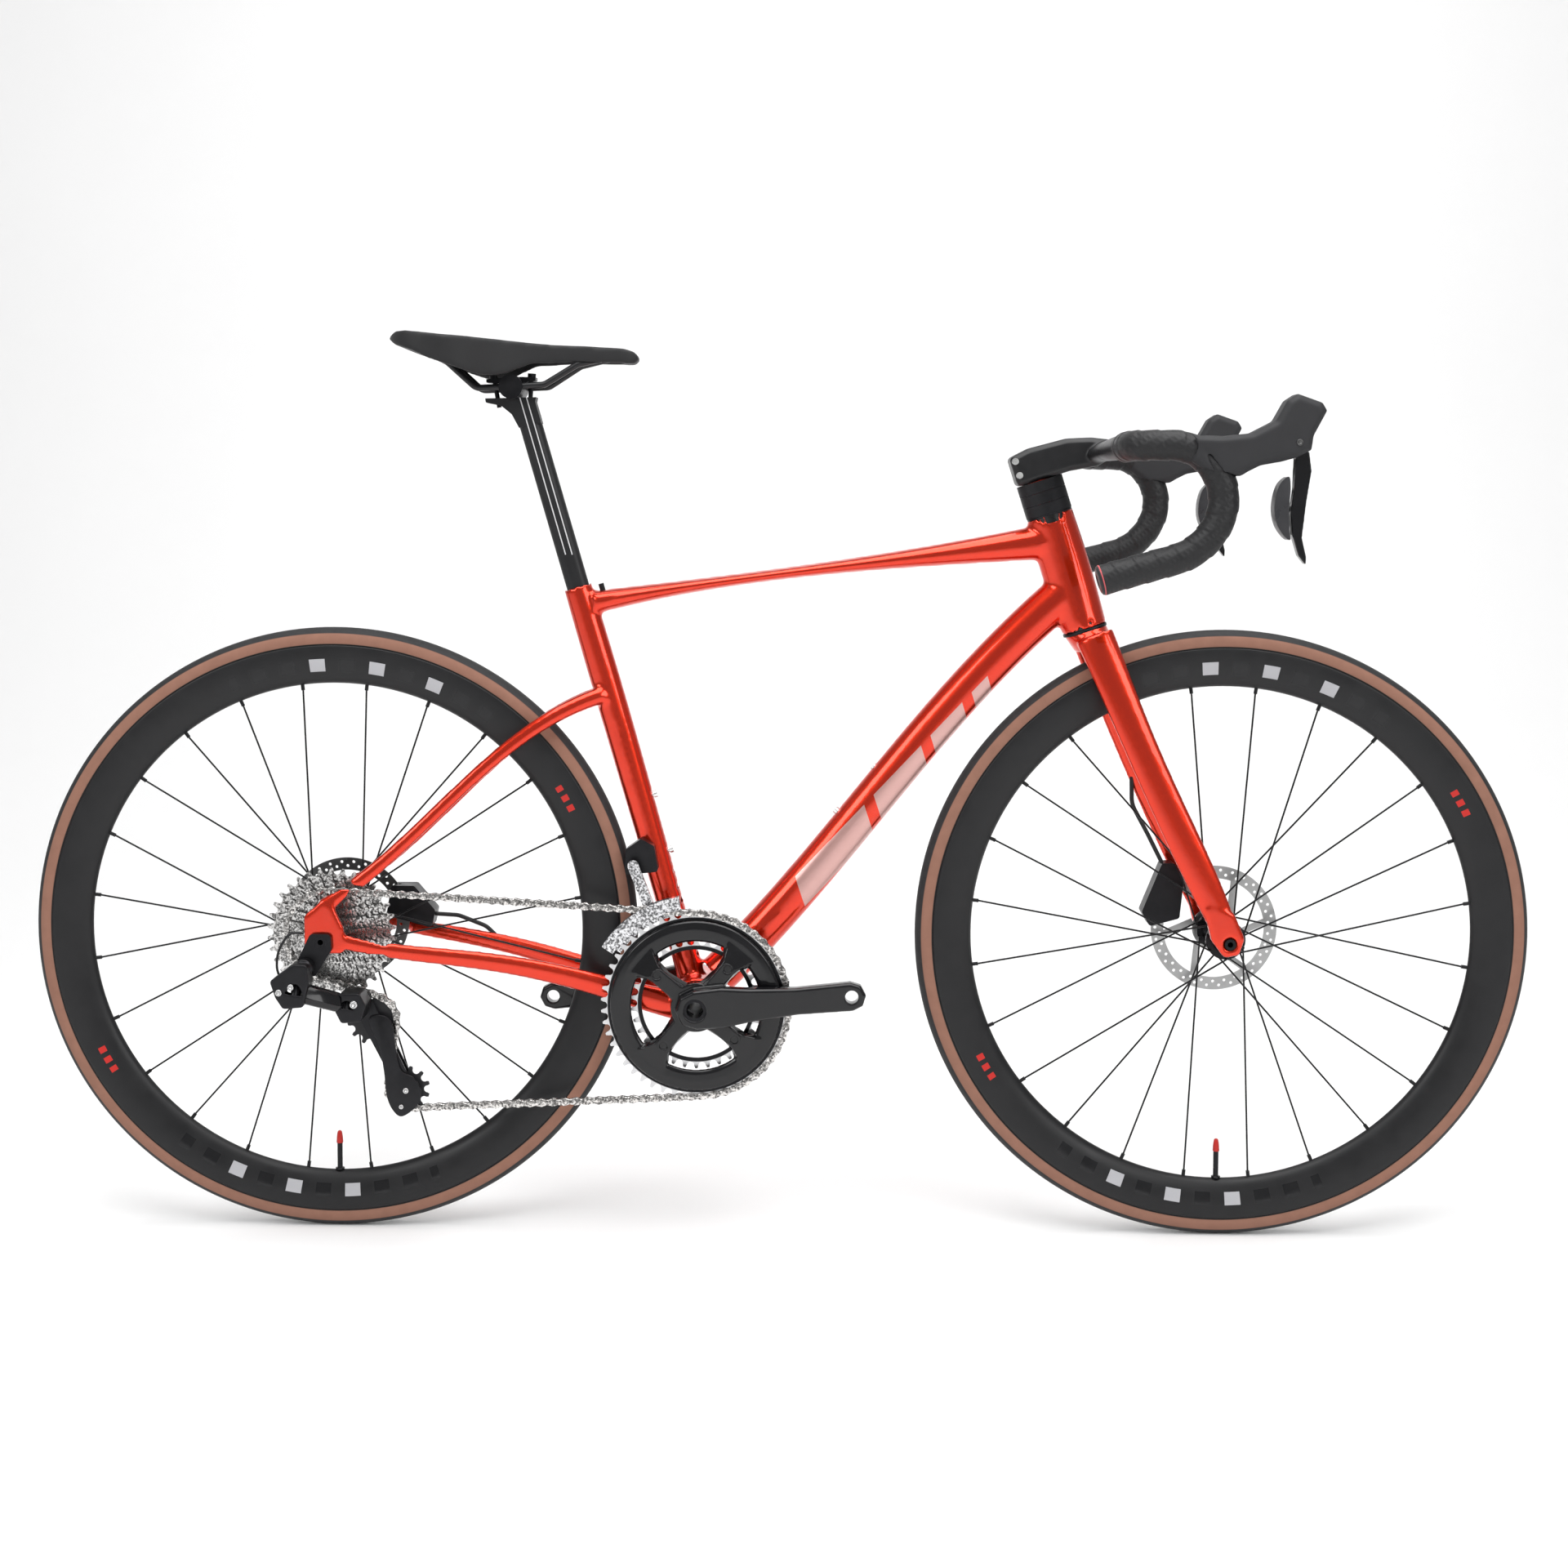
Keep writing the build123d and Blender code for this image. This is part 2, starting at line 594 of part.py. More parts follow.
def chain_link(sides, height, pin, hole):
    """One link lying along X: two side plates and what joins them."""
    inner, outer = sides
    with BuildPart() as link:
        for side in (-1, 1):
            near, far = sorted((side * inner, side * outer))
            with BuildSketch(Plane.XZ.offset(-far)):
                SlotCenterToCenter(CHAIN_PITCH - 0.1, height)
            extrude(amount=far - near)
        for x in (-CHAIN_PITCH / 2, CHAIN_PITCH / 2):
            with BuildSketch(Plane.XZ.offset(-outer)):
                with Locations((x, 0)):
                    Circle(pin)
            extrude(amount=2 * outer)
            if hole:
                with BuildSketch(Plane.XZ.offset(-outer)):
                    with Locations((x, 0)):
                        Circle(hole)
                extrude(amount=2 * outer, mode=Mode.SUBTRACT)
    return link.part


inner_link = chain_link(LINK_INNER, 8.0, ROLLER_R, 2.2)
outer_link = chain_link(LINK_OUTER, 7.4, 1.8, 0)
links = []
for i in range(LINK_COUNT):
    links.append((outer_link if i % 2 else inner_link).moved(link_place(i)))
chain = Compound(children=links)
save(chain, "chain")

# ---- crankset ----
ARM_INNER_Y = -59.0
ARM_OUTER_Y = -74.0
tilt = math.radians(CRANK_TILT)
ARM_RUN = Vector(math.cos(tilt), 0, math.sin(tilt))
ARM_RISE = Vector(-math.sin(tilt), 0, math.cos(tilt))


def on_arm(along, off, y=0.0):
    """A point along the right arm from the spindle, and off its centre line."""
    return BB + ARM_RUN * along + ARM_RISE * off + Vector(0, y, 0)


def crank_arm(sign, y_near, y_far):
    """An arm with its pedal bore; sign is 1 for the forward arm, -1 for the rearward one."""
    end = CRANK_LENGTH
    outline = [(-21, 0), (-15, 15), (0, 21), (30, 22), (60, 18), (110, 14.5), (end, 15.5), (end + 11, 11),
               (end + 15.5, 0), (end + 11, -11), (end, -15.5), (110, -14.5), (60, -18), (30, -22), (0, -21),
               (-15, -15)]
    with BuildPart() as arm:
        add(plate([on_arm(sign * a, o) for a, o in outline], y_near, y_far))
        chamfer(arm.faces().filter_by(Axis.Y).edges(), 2.2)
        hole = on_arm(sign * end, 0)
        add(rod(hole + Vector(0, y_near - 5, 0), hole + Vector(0, y_far + 5, 0), PEDAL_BORE_R),
            mode=Mode.SUBTRACT)
        add(rod(bb(0, 0, y_near - 5), bb(0, 0, y_far + 5), SPINDLE_R), mode=Mode.SUBTRACT)
    return arm.part


RING_BOLT_R = 55.0
SPIDER_Y = (-58.9, -49.5)
with BuildPart() as crank_arm_right:
    add(crank_arm(1, ARM_OUTER_Y, ARM_INNER_Y))
    with BuildSketch(side_plane(SPIDER_Y[1])):
        with Locations((BB.X, BB.Z)):
            Circle(27)
            with PolarLocations(34, 4, start_angle=CRANK_TILT + 45):
                SlotOverall(54, 17)
            with PolarLocations(RING_BOLT_R, 4, start_angle=CRANK_TILT + 45):
                Circle(4.1, mode=Mode.SUBTRACT)
            Circle(SPINDLE_R, mode=Mode.SUBTRACT)
    extrude(amount=SPIDER_Y[1] - SPIDER_Y[0] + 1)
save(crank_arm_right.part, "crank_arm_right")

with BuildPart() as crank_arm_left:
    add(crank_arm(-1, -ARM_INNER_Y, -ARM_OUTER_Y))
save(crank_arm_left.part, "crank_arm_left")

with BuildPart() as crank_spindle:
    add(disc(BB, SPINDLE_R, ARM_OUTER_Y + 1, -ARM_OUTER_Y - 1, SPINDLE_R - 3))
    add(disc(BB, 17, 45, 58.9, SPINDLE_R))
save(crank_spindle.part, "crank_spindle")


def chainring(teeth, y, phase, band):
    """A chainring: a toothed band with four bolt tabs."""
    with BuildPart() as ring:
        add(toothed(BB, teeth, y, 1.6, band, phase))
        with BuildSketch(side_plane(y - 0.8)):
            with Locations((BB.X, BB.Z)):
                with PolarLocations((RING_BOLT_R + band) / 2, 4, start_angle=CRANK_TILT + 45):
                    SlotOverall(abs(band - RING_BOLT_R) + 22, 16)
                Circle(band + 1, mode=Mode.INTERSECT)
                with PolarLocations(RING_BOLT_R, 4, start_angle=CRANK_TILT + 45):
                    Circle(4.1, mode=Mode.SUBTRACT)
        extrude(amount=-1.6)
    return ring.part


save(chainring(RING_TEETH, RING_Y, tooth_phase(CHAIN[1]), 84), "big_chainring")
save(chainring(SMALL_RING_TEETH, RING_Y + RING_SPACING, 0, 60), "small_chainring")

with BuildPart() as chainring_bolts:
    for k in range(4):
        a = math.radians(CRANK_TILT + 45 + 90 * k)
        point = BB + Vector(math.cos(a), 0, math.sin(a)) * RING_BOLT_R
        add(rod(point + Vector(0, -57.5, 0), point + Vector(0, RING_Y + RING_SPACING + 1.6, 0), 4.05))
        add(rod(point + Vector(0, RING_Y + 0.8, 0), point + Vector(0, RING_Y + RING_SPACING - 0.8, 0), 6.5))
        add(rod(point + Vector(0, SPIDER_Y[1], 0), point + Vector(0, RING_Y - 0.8, 0), 6.5))
save(chainring_bolts.part, "chainring_bolts")

# ---- front derailleur ----
FD_TRAVEL = RING_SPACING
FD_ROD = bb(-69, 152)
FD_ROD_R = 3.0
with BuildPart() as front_derailleur_body:
    add(plate([bb(-79, 140), bb(-42, 143.5), bb(-47, 172), bb(-61, 180), bb(-78, 168)], -30, -13, 4))
    add(tube(SEAT_TUBE), mode=Mode.SUBTRACT)
    add(disc(FD_ROD, FD_ROD_R + RUNNING, -40, 0), mode=Mode.SUBTRACT)
save(front_derailleur_body.part, "front_derailleur_body")

FD_GAP = (3.6, 4.8)


def arc_plate(r_low, r_high, angle_low, angle_high, y_near, y_far):
    """A curved plate about the bottom bracket."""
    far = r_high * 1.6
    spread = [math.radians(a) for a in (angle_low, (angle_low + angle_high) / 2, angle_high)]
    with BuildPart() as piece:
        with BuildSketch(side_plane(y_far)):
            with Locations((BB.X, BB.Z)):
                Circle(r_high)
                Circle(r_low, mode=Mode.SUBTRACT)
            with BuildLine():
                Polyline((BB.X, BB.Z), *[(BB.X + far * math.cos(a), BB.Z + far * math.sin(a)) for a in spread],
                         close=True)
            make_face(mode=Mode.INTERSECT)
        extrude(amount=y_far - y_near)
    return piece.part


def hull_plate(circles, y_near, y_far):
    """A flat plate whose outline wraps (point, radius) circles."""
    with BuildPart() as piece:
        with BuildSketch(side_plane(y_far)):
            for point, radius in circles:
                with Locations((point.X, point.Z)):
                    Circle(radius)
            make_hull()
        extrude(amount=y_far - y_near)
    return piece.part


RING_TIP = pitch_r(RING_TEETH) + 3.0
with BuildPart() as fd_cage:
    add(arc_plate(RING_TIP + 2.5, RING_TIP + 17, 99, 148, RING_Y - FD_GAP[1], RING_Y - FD_GAP[0]))
    add(arc_plate(RING_TIP - 4, RING_TIP + 17, 99, 146, RING_Y + FD_GAP[0], RING_Y + FD_GAP[1]))
    for near, far in ((99, 104), (142, 146)):
        add(arc_plate(RING_TIP + 14, RING_TIP + 17, near, far, RING_Y - FD_GAP[1], RING_Y + FD_GAP[1]))
    add(hull_plate([(FD_ROD, 6), (bb(-52, 108), 6)], RING_Y + FD_GAP[0], RING_Y + 7.5))
    add(disc(FD_ROD, FD_ROD_R, RING_Y + 7, -18))
save(fd_cage.part, "fd_cage")

# ---- rear derailleur: a parallelogram between the base and the lower knuckle ----
LINK_SPAN = Vector(50, 30, -22)
SWING_WAY = Vector(-0.77, 1, -0.4)
SWING_AXIS = LINK_SPAN.cross(SWING_WAY).normalized()
SWING_OUT = 31.7
SWING_IN = 14.6
SWING_SPARE = 12.0
LINK_GAP = Vector(0, 13, 0)
BASE_PIVOT = rear(-24, -50, -97)
BASE_PIVOTS = [BASE_PIVOT, BASE_PIVOT + LINK_GAP]
KNUCKLE_PIVOTS = [p + LINK_SPAN for p in BASE_PIVOTS]
CAGE_PIVOT = rear(34, -69)
CAGE_PIVOT_R = 5.0
RD_PIN_R = 1.8
LINK_BOSS_R = 4.6
LINK_TALL = 11.0
PLATE_GAP = 5.2
PLATE_THICK = 1.8
KNUCKLE_FACE = REST_Y - PLATE_GAP - PLATE_THICK - 0.5
TENSION = CHAIN[2][0]


def along_swing(point, radius, tall):
    """A cylinder about a link pivot, centred on it."""
    half = SWING_AXIS * (tall / 2)
    return rod(point - half, point + half, radius)


def swing_link(start):
    """One parallelogram link with a bored boss at each end."""
    end = start + LINK_SPAN
    with BuildPart() as link:
        for point in (start, end):
            add(along_swing(point, LINK_BOSS_R, LINK_TALL))
        with BuildSketch(Plane(origin=start, x_dir=SWING_AXIS, z_dir=LINK_SPAN)):
            Rectangle(LINK_TALL - 1, 4.0)
        extrude(amount=LINK_SPAN.length)
        for point in (start, end):
            add(along_swing(point, RD_PIN_R + RUNNING, LINK_TALL + 4), mode=Mode.SUBTRACT)
    return link.part


def link_room(point, way):
    """The space one link's end needs as it swings: a disc and a fan along the link."""
    reach = 70.0
    tall = LINK_TALL + 0.8
    angles = [-SWING_OUT - SWING_SPARE, 0, SWING_IN + SWING_SPARE]
    fan = [(reach * math.cos(math.radians(a)), reach * math.sin(math.radians(a))) for a in angles]
    wide = [(0, -5), (reach, -5), (reach, 5), (0, 5)]
    with BuildPart() as room:
        with BuildSketch(Plane(origin=point - SWING_AXIS * (tall / 2), x_dir=way, z_dir=SWING_AXIS)):
            Circle(11.5)
            with BuildLine():
                Polyline((0, 0), *fan, close=True)
            make_face()
            with BuildLine():
                Polyline(*wide, close=True)
            make_face()
        extrude(amount=tall)
    return room.part


def forked(body, pivots, way):
    """Cut room for the links' ends into a body and set the pivot pins across it."""
    with BuildPart() as piece:
        add(body)
        for point in pivots:
            add(link_room(point, way), mode=Mode.SUBTRACT)
        for point in pivots:
            add(along_swing(point, RD_PIN_R, LINK_TALL + 5))
    return piece.part


with BuildPart() as base_body:
    add(disc(rear(-15.8, -26), 9.5, HANGER_Y - 17, HANGER_Y - 5))
    add(disc(rear(-15.8, -26), 4.95, HANGER_Y - 6, HANGER_Y + 1))
    add(plate([rear(-26, -20), rear(-9, -20), rear(-8, -40), rear(-14, -66), rear(-36, -68), rear(-44, -56),
               rear(-50, -38)], HANGER_Y - 28, HANGER_Y - 5.3, 4))
save(forked(base_body.part, BASE_PIVOTS, LINK_SPAN), "rear_derailleur_base")
save(swing_link(BASE_PIVOTS[0]), "rd_outer_link")
save(swing_link(BASE_PIVOTS[1]), "rd_inner_link")

with BuildPart() as knuckle_body:
    add(plate([rear(18, -57), rear(40, -57), rear(47, -70), rear(42, -88), rear(20, -90), rear(13, -76)],
              -77, KNUCKLE_FACE, 4))
with BuildPart() as rd_lower_knuckle:
    add(forked(knuckle_body.part, KNUCKLE_PIVOTS, -LINK_SPAN))
    add(disc(CAGE_PIVOT, CAGE_PIVOT_R, KNUCKLE_FACE - 1, REST_Y - PLATE_GAP))
save(rd_lower_knuckle.part, "rd_lower_knuckle")

PULLEY_BOLT_R = 2.5
with BuildPart() as rd_cage:
    outer_y = REST_Y - PLATE_GAP - PLATE_THICK
    add(hull_plate([(CAGE_PIVOT, 11), (GUIDE, 9), (TENSION, 9)], outer_y, REST_Y - PLATE_GAP))
    add(hull_plate([(GUIDE, 9), (TENSION, 9)], REST_Y + PLATE_GAP, REST_Y + PLATE_GAP + PLATE_THICK))
    for point in (GUIDE, TENSION):
        add(disc(point, PULLEY_BOLT_R, outer_y - 0.4, REST_Y + PLATE_GAP + PLATE_THICK + 1))
    add(disc(CAGE_PIVOT, CAGE_PIVOT_R + RUNNING, outer_y - 5, REST_Y), mode=Mode.SUBTRACT)
save(rd_cage.part, "rd_cage")


def pulley(centre, stop):
    """A derailleur pulley with its bearing boss."""
    teeth = GUIDE_TEETH if centre is GUIDE else TENSION_TEETH
    bore = PULLEY_BOLT_R + RUNNING
    with BuildPart() as wheel:
        add(toothed(centre, teeth, REST_Y, COG_THICK, bore, tooth_phase(stop), tip=2.6, flare=3.2))
        add(disc(centre, 6, REST_Y - PLATE_GAP + 0.4, REST_Y + PLATE_GAP - 0.4, bore))
    return wheel.part


save(pulley(GUIDE, CHAIN[3]), "guide_pulley")
save(pulley(TENSION, CHAIN[2]), "tension_pulley")

# ---- rear brake ----
PAD_THICK = 1.7
PAD_ROOM = 3.0


def caliper(centre, outline, pad, centre_y, y_near, y_far, cut):
    """A brake caliper: a body slotted for the rotor and a pad on each side of it."""
    low, high = centre_y - PAD_ROOM, centre_y + PAD_ROOM
    with BuildPart() as piece:
        add(plate(outline, y_near, y_far, 4))
        add(disc(centre, ROTOR_R + PAD_ROOM, low, high), mode=Mode.SUBTRACT)
        add(cut, mode=Mode.SUBTRACT)
        add(plate(pad, low, low + PAD_THICK))
        add(plate(pad, high - PAD_THICK, high))
    return piece.part


rear_caliper = caliper(REAR, [rear(46, 6), rear(98, -8), rear(102, 12), rear(78, 40), rear(52, 40)],
                       [rear(52, 12), rear(64, 10), rear(62, 28), rear(52, 30)],
                       REAR_ROTOR_Y, 43, 69, rear_stays.part)
save(rear_caliper, "rear_brake_caliper")
HOSE_R = 2.4
with BuildPart() as rear_brake_hose:
    add(pipe([rear(178, -26, 52), rear(158, -8, 56), rear(126, 4, 58), rear(94, 6, 57)], 24, HOSE_R))
    add(rear_stays.part, mode=Mode.SUBTRACT)
    add(rear_caliper, mode=Mode.SUBTRACT)
save(rear_brake_hose.part.solids().sort_by(SortBy.VOLUME)[-1], "rear_brake_hose")

# ---- fork ----
CROWN_GAP = 1.2
FORK_FACE = FRONT_HUB_HALF
FORK_TIP = 11.0
LEG = [(steer(HEAD_LOW - 9, 6, 22), 24, 42), (front(-118, 264, 38), 15, 38), (front(-73, 160, 48), 12.5, 36),
       (front(-41, 92, 53), 12, 36), (front(-12, 30, 55.5), 10.5, 31)]
with BuildPart() as fork_leg:
    add(tube(LEG))
    add(plate([front(-29, 42, 0), front(4, 34, 0), front(16, 6, 0), front(10, -12, 0), front(-6, -15, 0),
               front(-20, 4, 0)], FORK_FACE, FORK_FACE + FORK_TIP, 5))
with BuildPart() as fork:
    add(tube([(steer(HEAD_LOW - 22, 5), 64, 43), (steer(HEAD_LOW - CROWN_GAP, 0.5), 45, 47)], STEER_UP))
    add(fork_leg.part)
    mirror(fork_leg.part, about=Plane.XZ)
    add(disc(FRONT, TYRE_R + 5, -19, 19, 100), mode=Mode.SUBTRACT)
    add(disc(FRONT, 60, -FORK_FACE, FORK_FACE), mode=Mode.SUBTRACT)
    add(rod(steer(HEAD_LOW - 10, 0), steer(HEAD_TOP + 68, 0), STEERER_R))
    add(rod(steer(HEAD_LOW - 4, 0), steer(HEAD_TOP + 72, 0), STEERER_R - 2.5), mode=Mode.SUBTRACT)
    add(rod(front(0, 0, -80), front(0, 0, 80), AXLE_R + RUNNING), mode=Mode.SUBTRACT)
save(fork.part, "fork")

FORK_OUT = FORK_FACE + FORK_TIP
with BuildPart() as front_thru_axle:
    add(disc(FRONT, AXLE_R, -FORK_OUT - 1, FORK_OUT + 4, 3.0))
    add(disc(FRONT, 9.0, FORK_OUT, FORK_OUT + 4, 3.0))
save(front_thru_axle.part, "front_thru_axle")

front_caliper = caliper(FRONT, [front(-82, 19), front(-73, 3), front(-40, 12), front(-36, 52), front(-46, 74),
                                front(-60, 74)],
                        [front(-66, 14), front(-50, 16), front(-48, 40), front(-58, 40)],
                        FRONT_ROTOR_Y, 24, 47, fork.part)
save(front_caliper, "front_brake_caliper")
with BuildPart() as front_brake_hose:
    add(pipe([front(-92, 168, 45), front(-92, 138, 42), front(-74, 104, 38), front(-54, 64, 36)], 30, HOSE_R))
    add(fork.part, mode=Mode.SUBTRACT)
    add(front_caliper, mode=Mode.SUBTRACT)
save(front_brake_hose.part.solids().sort_by(SortBy.VOLUME)[-1], "front_brake_hose")

# ---- cockpit ----
SPACER_TALL = 12.4
SPACER_COUNT = 3
SPACER_GAP = 0.8
SPACER_TOP = SPACER_GAP + SPACER_COUNT * SPACER_TALL
with BuildPart() as headset_spacers:
    for k in range(SPACER_COUNT):
        low = SPACER_GAP + k * SPACER_TALL
        add(tube([(stem(low, 0.5), 42, 51), (stem(low + SPACER_TALL - 0.3, 0.5), 42, 51)], STEER_UP))
    add(rod(stem(0, 0), stem(60, 0), STEERER_R + RUNNING), mode=Mode.SUBTRACT)
save(headset_spacers.part, "headset_spacers")

GRIP = [stem(46, 80, -BAR_HALF + 9), stem(27, 140, -BAR_HALF - 1), stem(-34, 156, -BAR_HALF - 2),
        stem(-75, 110, -BAR_HALF - 3), stem(-72, 9, -BAR_HALF - 3)]
BENDS = [30, 24, 38, 45]
WING = [(0, 44, 22), (50, 42, 22), (100, 32, 25), (132, 2 * BAR_R + 1, 2 * BAR_R + 1)]
GRIP_START = 118.0
TAPE_START = 128.0


def wing(side):
    """The flat-topped middle of the bar, from the stem to the round grip."""
    with BuildPart() as half:
        for y, fore, tall in WING:
            with BuildSketch(Plane(origin=stem(47, 78, side * y), x_dir=STEER_FORE, z_dir=(0, side, 0))):
                Ellipse(fore / 2, tall / 2)
        loft()
    return half.part


def grip_path(start):
    """The right side of the bar from a distance off centre to its end."""
    root = stem(47, 78, -GRIP_START)
    share = (start - GRIP_START) / (root.Y - GRIP[0].Y)
    return [root + (GRIP[0] - root) * share] + GRIP


with BuildPart() as handlebar:
    add(plate([stem(SPACER_TOP, -25), stem(71, -25), stem(75, -2), stem(73, 40), stem(66, 66), stem(54, 93),
               stem(40, 88), stem(34, 64), stem(SPACER_TOP, 34)], -21, 21, 5))
    chamfer(handlebar.faces().filter_by(Axis.Y).edges(), 5)
    for side in (-1, 1):
        add(wing(side))
    right_grip = pipe(grip_path(GRIP_START), BENDS, BAR_R)
    add(right_grip)
    mirror(right_grip, about=Plane.XZ)
    add(rod(stem(SPACER_TOP - 2, 0), stem(69, 0), STEERER_R + RUNNING), mode=Mode.SUBTRACT)
save(handlebar.part, "handlebar")

with BuildPart() as stem_bolts:
    for side in (-1, 1):
        for up in (49.8, 65.6):
            y_in, y_out = sorted((side * 16.5, side * 22.5))
            add(disc(stem(up, -20), 3.6, y_in, y_out))
    add(handlebar.part, mode=Mode.SUBTRACT)
save(stem_bolts.part, "stem_bolts")

tape_right = pipe(grip_path(TAPE_START + 8), BENDS, TAPE_R, BAR_R + RUNNING)
with BuildPart() as bar_tape:
    add(tape_right)
    mirror(tape_right, about=Plane.XZ)
save(bar_tape.part, "bar_tape")

grip_end = (GRIP[-1] - GRIP[-2]).normalized()
plug_right = rod(GRIP[-1] + grip_end * 0.2, GRIP[-1] + grip_end * 4.5, TAPE_R - 0.8)
with BuildPart() as bar_end_plugs:
    add(plug_right)
    mirror(plug_right, about=Plane.XZ)
save(bar_end_plugs.part, "bar_end_plugs")

# ---- hoods, levers and paddles ----
LEVER_Y = -BAR_HALF - 1
HOOD_HALF = 17.0
LEVER_HALF = 6.0
LEVER_PIVOT = stem(0.4, 231)
LEVER_PIN_R = 2.5
LEVER_ROOM_R = 20.0
PADDLE_PIN_R = 1.6
PADDLE_PIN = (stem(-46, 206, LEVER_Y), stem(-60, 206, LEVER_Y))
PADDLE_NOTCH = (stem(-43, 206, LEVER_Y), stem(-63, 206, LEVER_Y))
HOOD = [stem(39, 134), stem(29, 162), stem(23.2, 190), stem(27.7, 216), stem(43.4, 232.6), stem(46.6, 244),
        stem(30.9, 264.6), stem(21.9, 266.8), stem(2.5, 247.2), stem(-10.5, 241), stem(-13.2, 226),
        stem(-12.6, 209.7), stem(-9.9, 189.4), stem(-12, 176), stem(-14, 168), stem(-8, 142), stem(14, 126)]
LEVER = [stem(6, 231), stem(-5.8, 236), stem(-12.4, 239.7), stem(-30.3, 236.6), stem(-57.7, 223.2),
         stem(-91, 208.6), stem(-110.2, 207.3), stem(-117.7, 204.4), stem(-106.5, 200.2), stem(-85.5, 200.4),
         stem(-62.9, 205.5), stem(-41.9, 215.3), stem(-14.5, 224.9), stem(-4, 226)]
PADDLE = [stem(-31, 211), stem(-62.6, 202.5), stem(-83.3, 196.2), stem(-80.8, 192.4), stem(-64.1, 192.5),
          stem(-51.4, 195.5), stem(-37, 204)]
with BuildPart() as hood_right:
    add(plate(HOOD, LEVER_Y - HOOD_HALF, LEVER_Y + HOOD_HALF))
    chamfer(hood_right.faces().filter_by(Axis.Y).edges(), 5)
    add(pipe(grip_path(TAPE_START + 5), BENDS, TAPE_R + RUNNING), mode=Mode.SUBTRACT)
    add(disc(LEVER_PIVOT, LEVER_ROOM_R, LEVER_Y - LEVER_HALF - 0.5, LEVER_Y + LEVER_HALF + 0.5), mode=Mode.SUBTRACT)
    add(disc(LEVER_PIVOT, LEVER_PIN_R, LEVER_Y - 12, LEVER_Y + 12))
hood_body = hood_right.part.solids().sort_by(SortBy.VOLUME)[-1]

with BuildPart() as brake_lever_right:
    add(plate(LEVER, LEVER_Y - LEVER_HALF, LEVER_Y + LEVER_HALF))
    add(disc(LEVER_PIVOT, 6.0, LEVER_Y - LEVER_HALF, LEVER_Y + LEVER_HALF))
    add(disc(LEVER_PIVOT, LEVER_PIN_R + RUNNING, LEVER_Y - 20, LEVER_Y + 20), mode=Mode.SUBTRACT)
    add(rod(*PADDLE_NOTCH, PADDLE_PIN_R + 0.6), mode=Mode.SUBTRACT)

with BuildPart() as shift_paddle_right:
    add(plate(PADDLE, LEVER_Y - 10, LEVER_Y + 10))
    add(rod(*PADDLE_PIN, PADDLE_PIN_R))

for name, piece in (("hood", hood_body), ("brake_lever", brake_lever_right.part),
                    ("shift_paddle", shift_paddle_right.part)):
    save(piece, f"{name}_right")
    save(piece.mirror(Plane.XZ), f"{name}_left")

# ---- seat ----
POST_BOTTOM = 352.0
SADDLE_UP = 700.0
SADDLE = seat(SADDLE_UP, 0)
CLAMP_R = 13.0
RAIL_R = 3.5
RAIL_Y = 22.0


def saddle_at(x, z, y=0.0):
    """A point from the saddle clamp's centre."""
    return SADDLE + Vector(x, y, z)


CLAMP_CENTRE = saddle_at(-8, -0.5)
CLAMP_BOLTS = [(saddle_at(-30.3, 13), saddle_at(-24, -22)), (saddle_at(11.9, 15), saddle_at(9.5, -22))]
with BuildPart() as seatpost:
    with BuildSketch(across(seat(POST_BOTTOM, -1.2), SEAT_UP)):
        SlotOverall(POST_DEPTH, POST_WIDTH, rotation=90)
    extrude(amount=SADDLE_UP - POST_BOTTOM - 28)
    add(plate([saddle_at(-38.4, -12.4), saddle_at(-37.6, -16.8), saddle_at(-21.3, -20), saddle_at(-9.4, -29.6),
               seat(658, -13.7), seat(656, 11.3), saddle_at(16.5, -16), saddle_at(17.5, -11)], -9, 9))
    add(disc(CLAMP_CENTRE, CLAMP_R + RUNNING, -30, 30), mode=Mode.SUBTRACT)
    for top, low in CLAMP_BOLTS:
        add(rod(top, low + (low - top).normalized() * 5, 5.0), mode=Mode.SUBTRACT)
save(seatpost.part, "seatpost")

RAIL_POINTS = [(-100, 45), (-78, 27), (-46, -2), (28, 1.5), (64, 24), (108, 34)]


def rail(side):
    """One saddle rail."""
    spread = [26, 24, RAIL_Y, RAIL_Y, 17, 9]
    points = [saddle_at(x, z, side * y) for (x, z), y in zip(RAIL_POINTS, spread)]
    return pipe(points, 12, RAIL_R)


SADDLE_SIDE = [(-140, 50.5), (-129, 57), (-115.5, 57), (-80.5, 53), (-22, 49.5), (36, 44.7), (75, 43.4),
               (113.5, 41.3), (125, 38), (131, 30.3), (125.5, 24.8), (66.7, 25.9), (15.4, 24.2), (-15.2, 11.2),
               (-34.3, 9.4), (-49.5, 13.2), (-68.4, 19.8), (-91.2, 27.5), (-107.3, 35.1), (-129, 42.7)]
SADDLE_PLAN = [(-140, 24), (-130, 50), (-112, 66), (-88, 71), (-60, 66), (-30, 47), (0, 31), (40, 23.5),
               (90, 19.5), (120, 15.5), (131, 9)]
SADDLE_HOLLOW = [(-112, 0), (-112, 41), (-60, 36), (0, 34), (60, 31.5), (112, 30), (112, 0)]
SADDLE_SKIN = 6.0


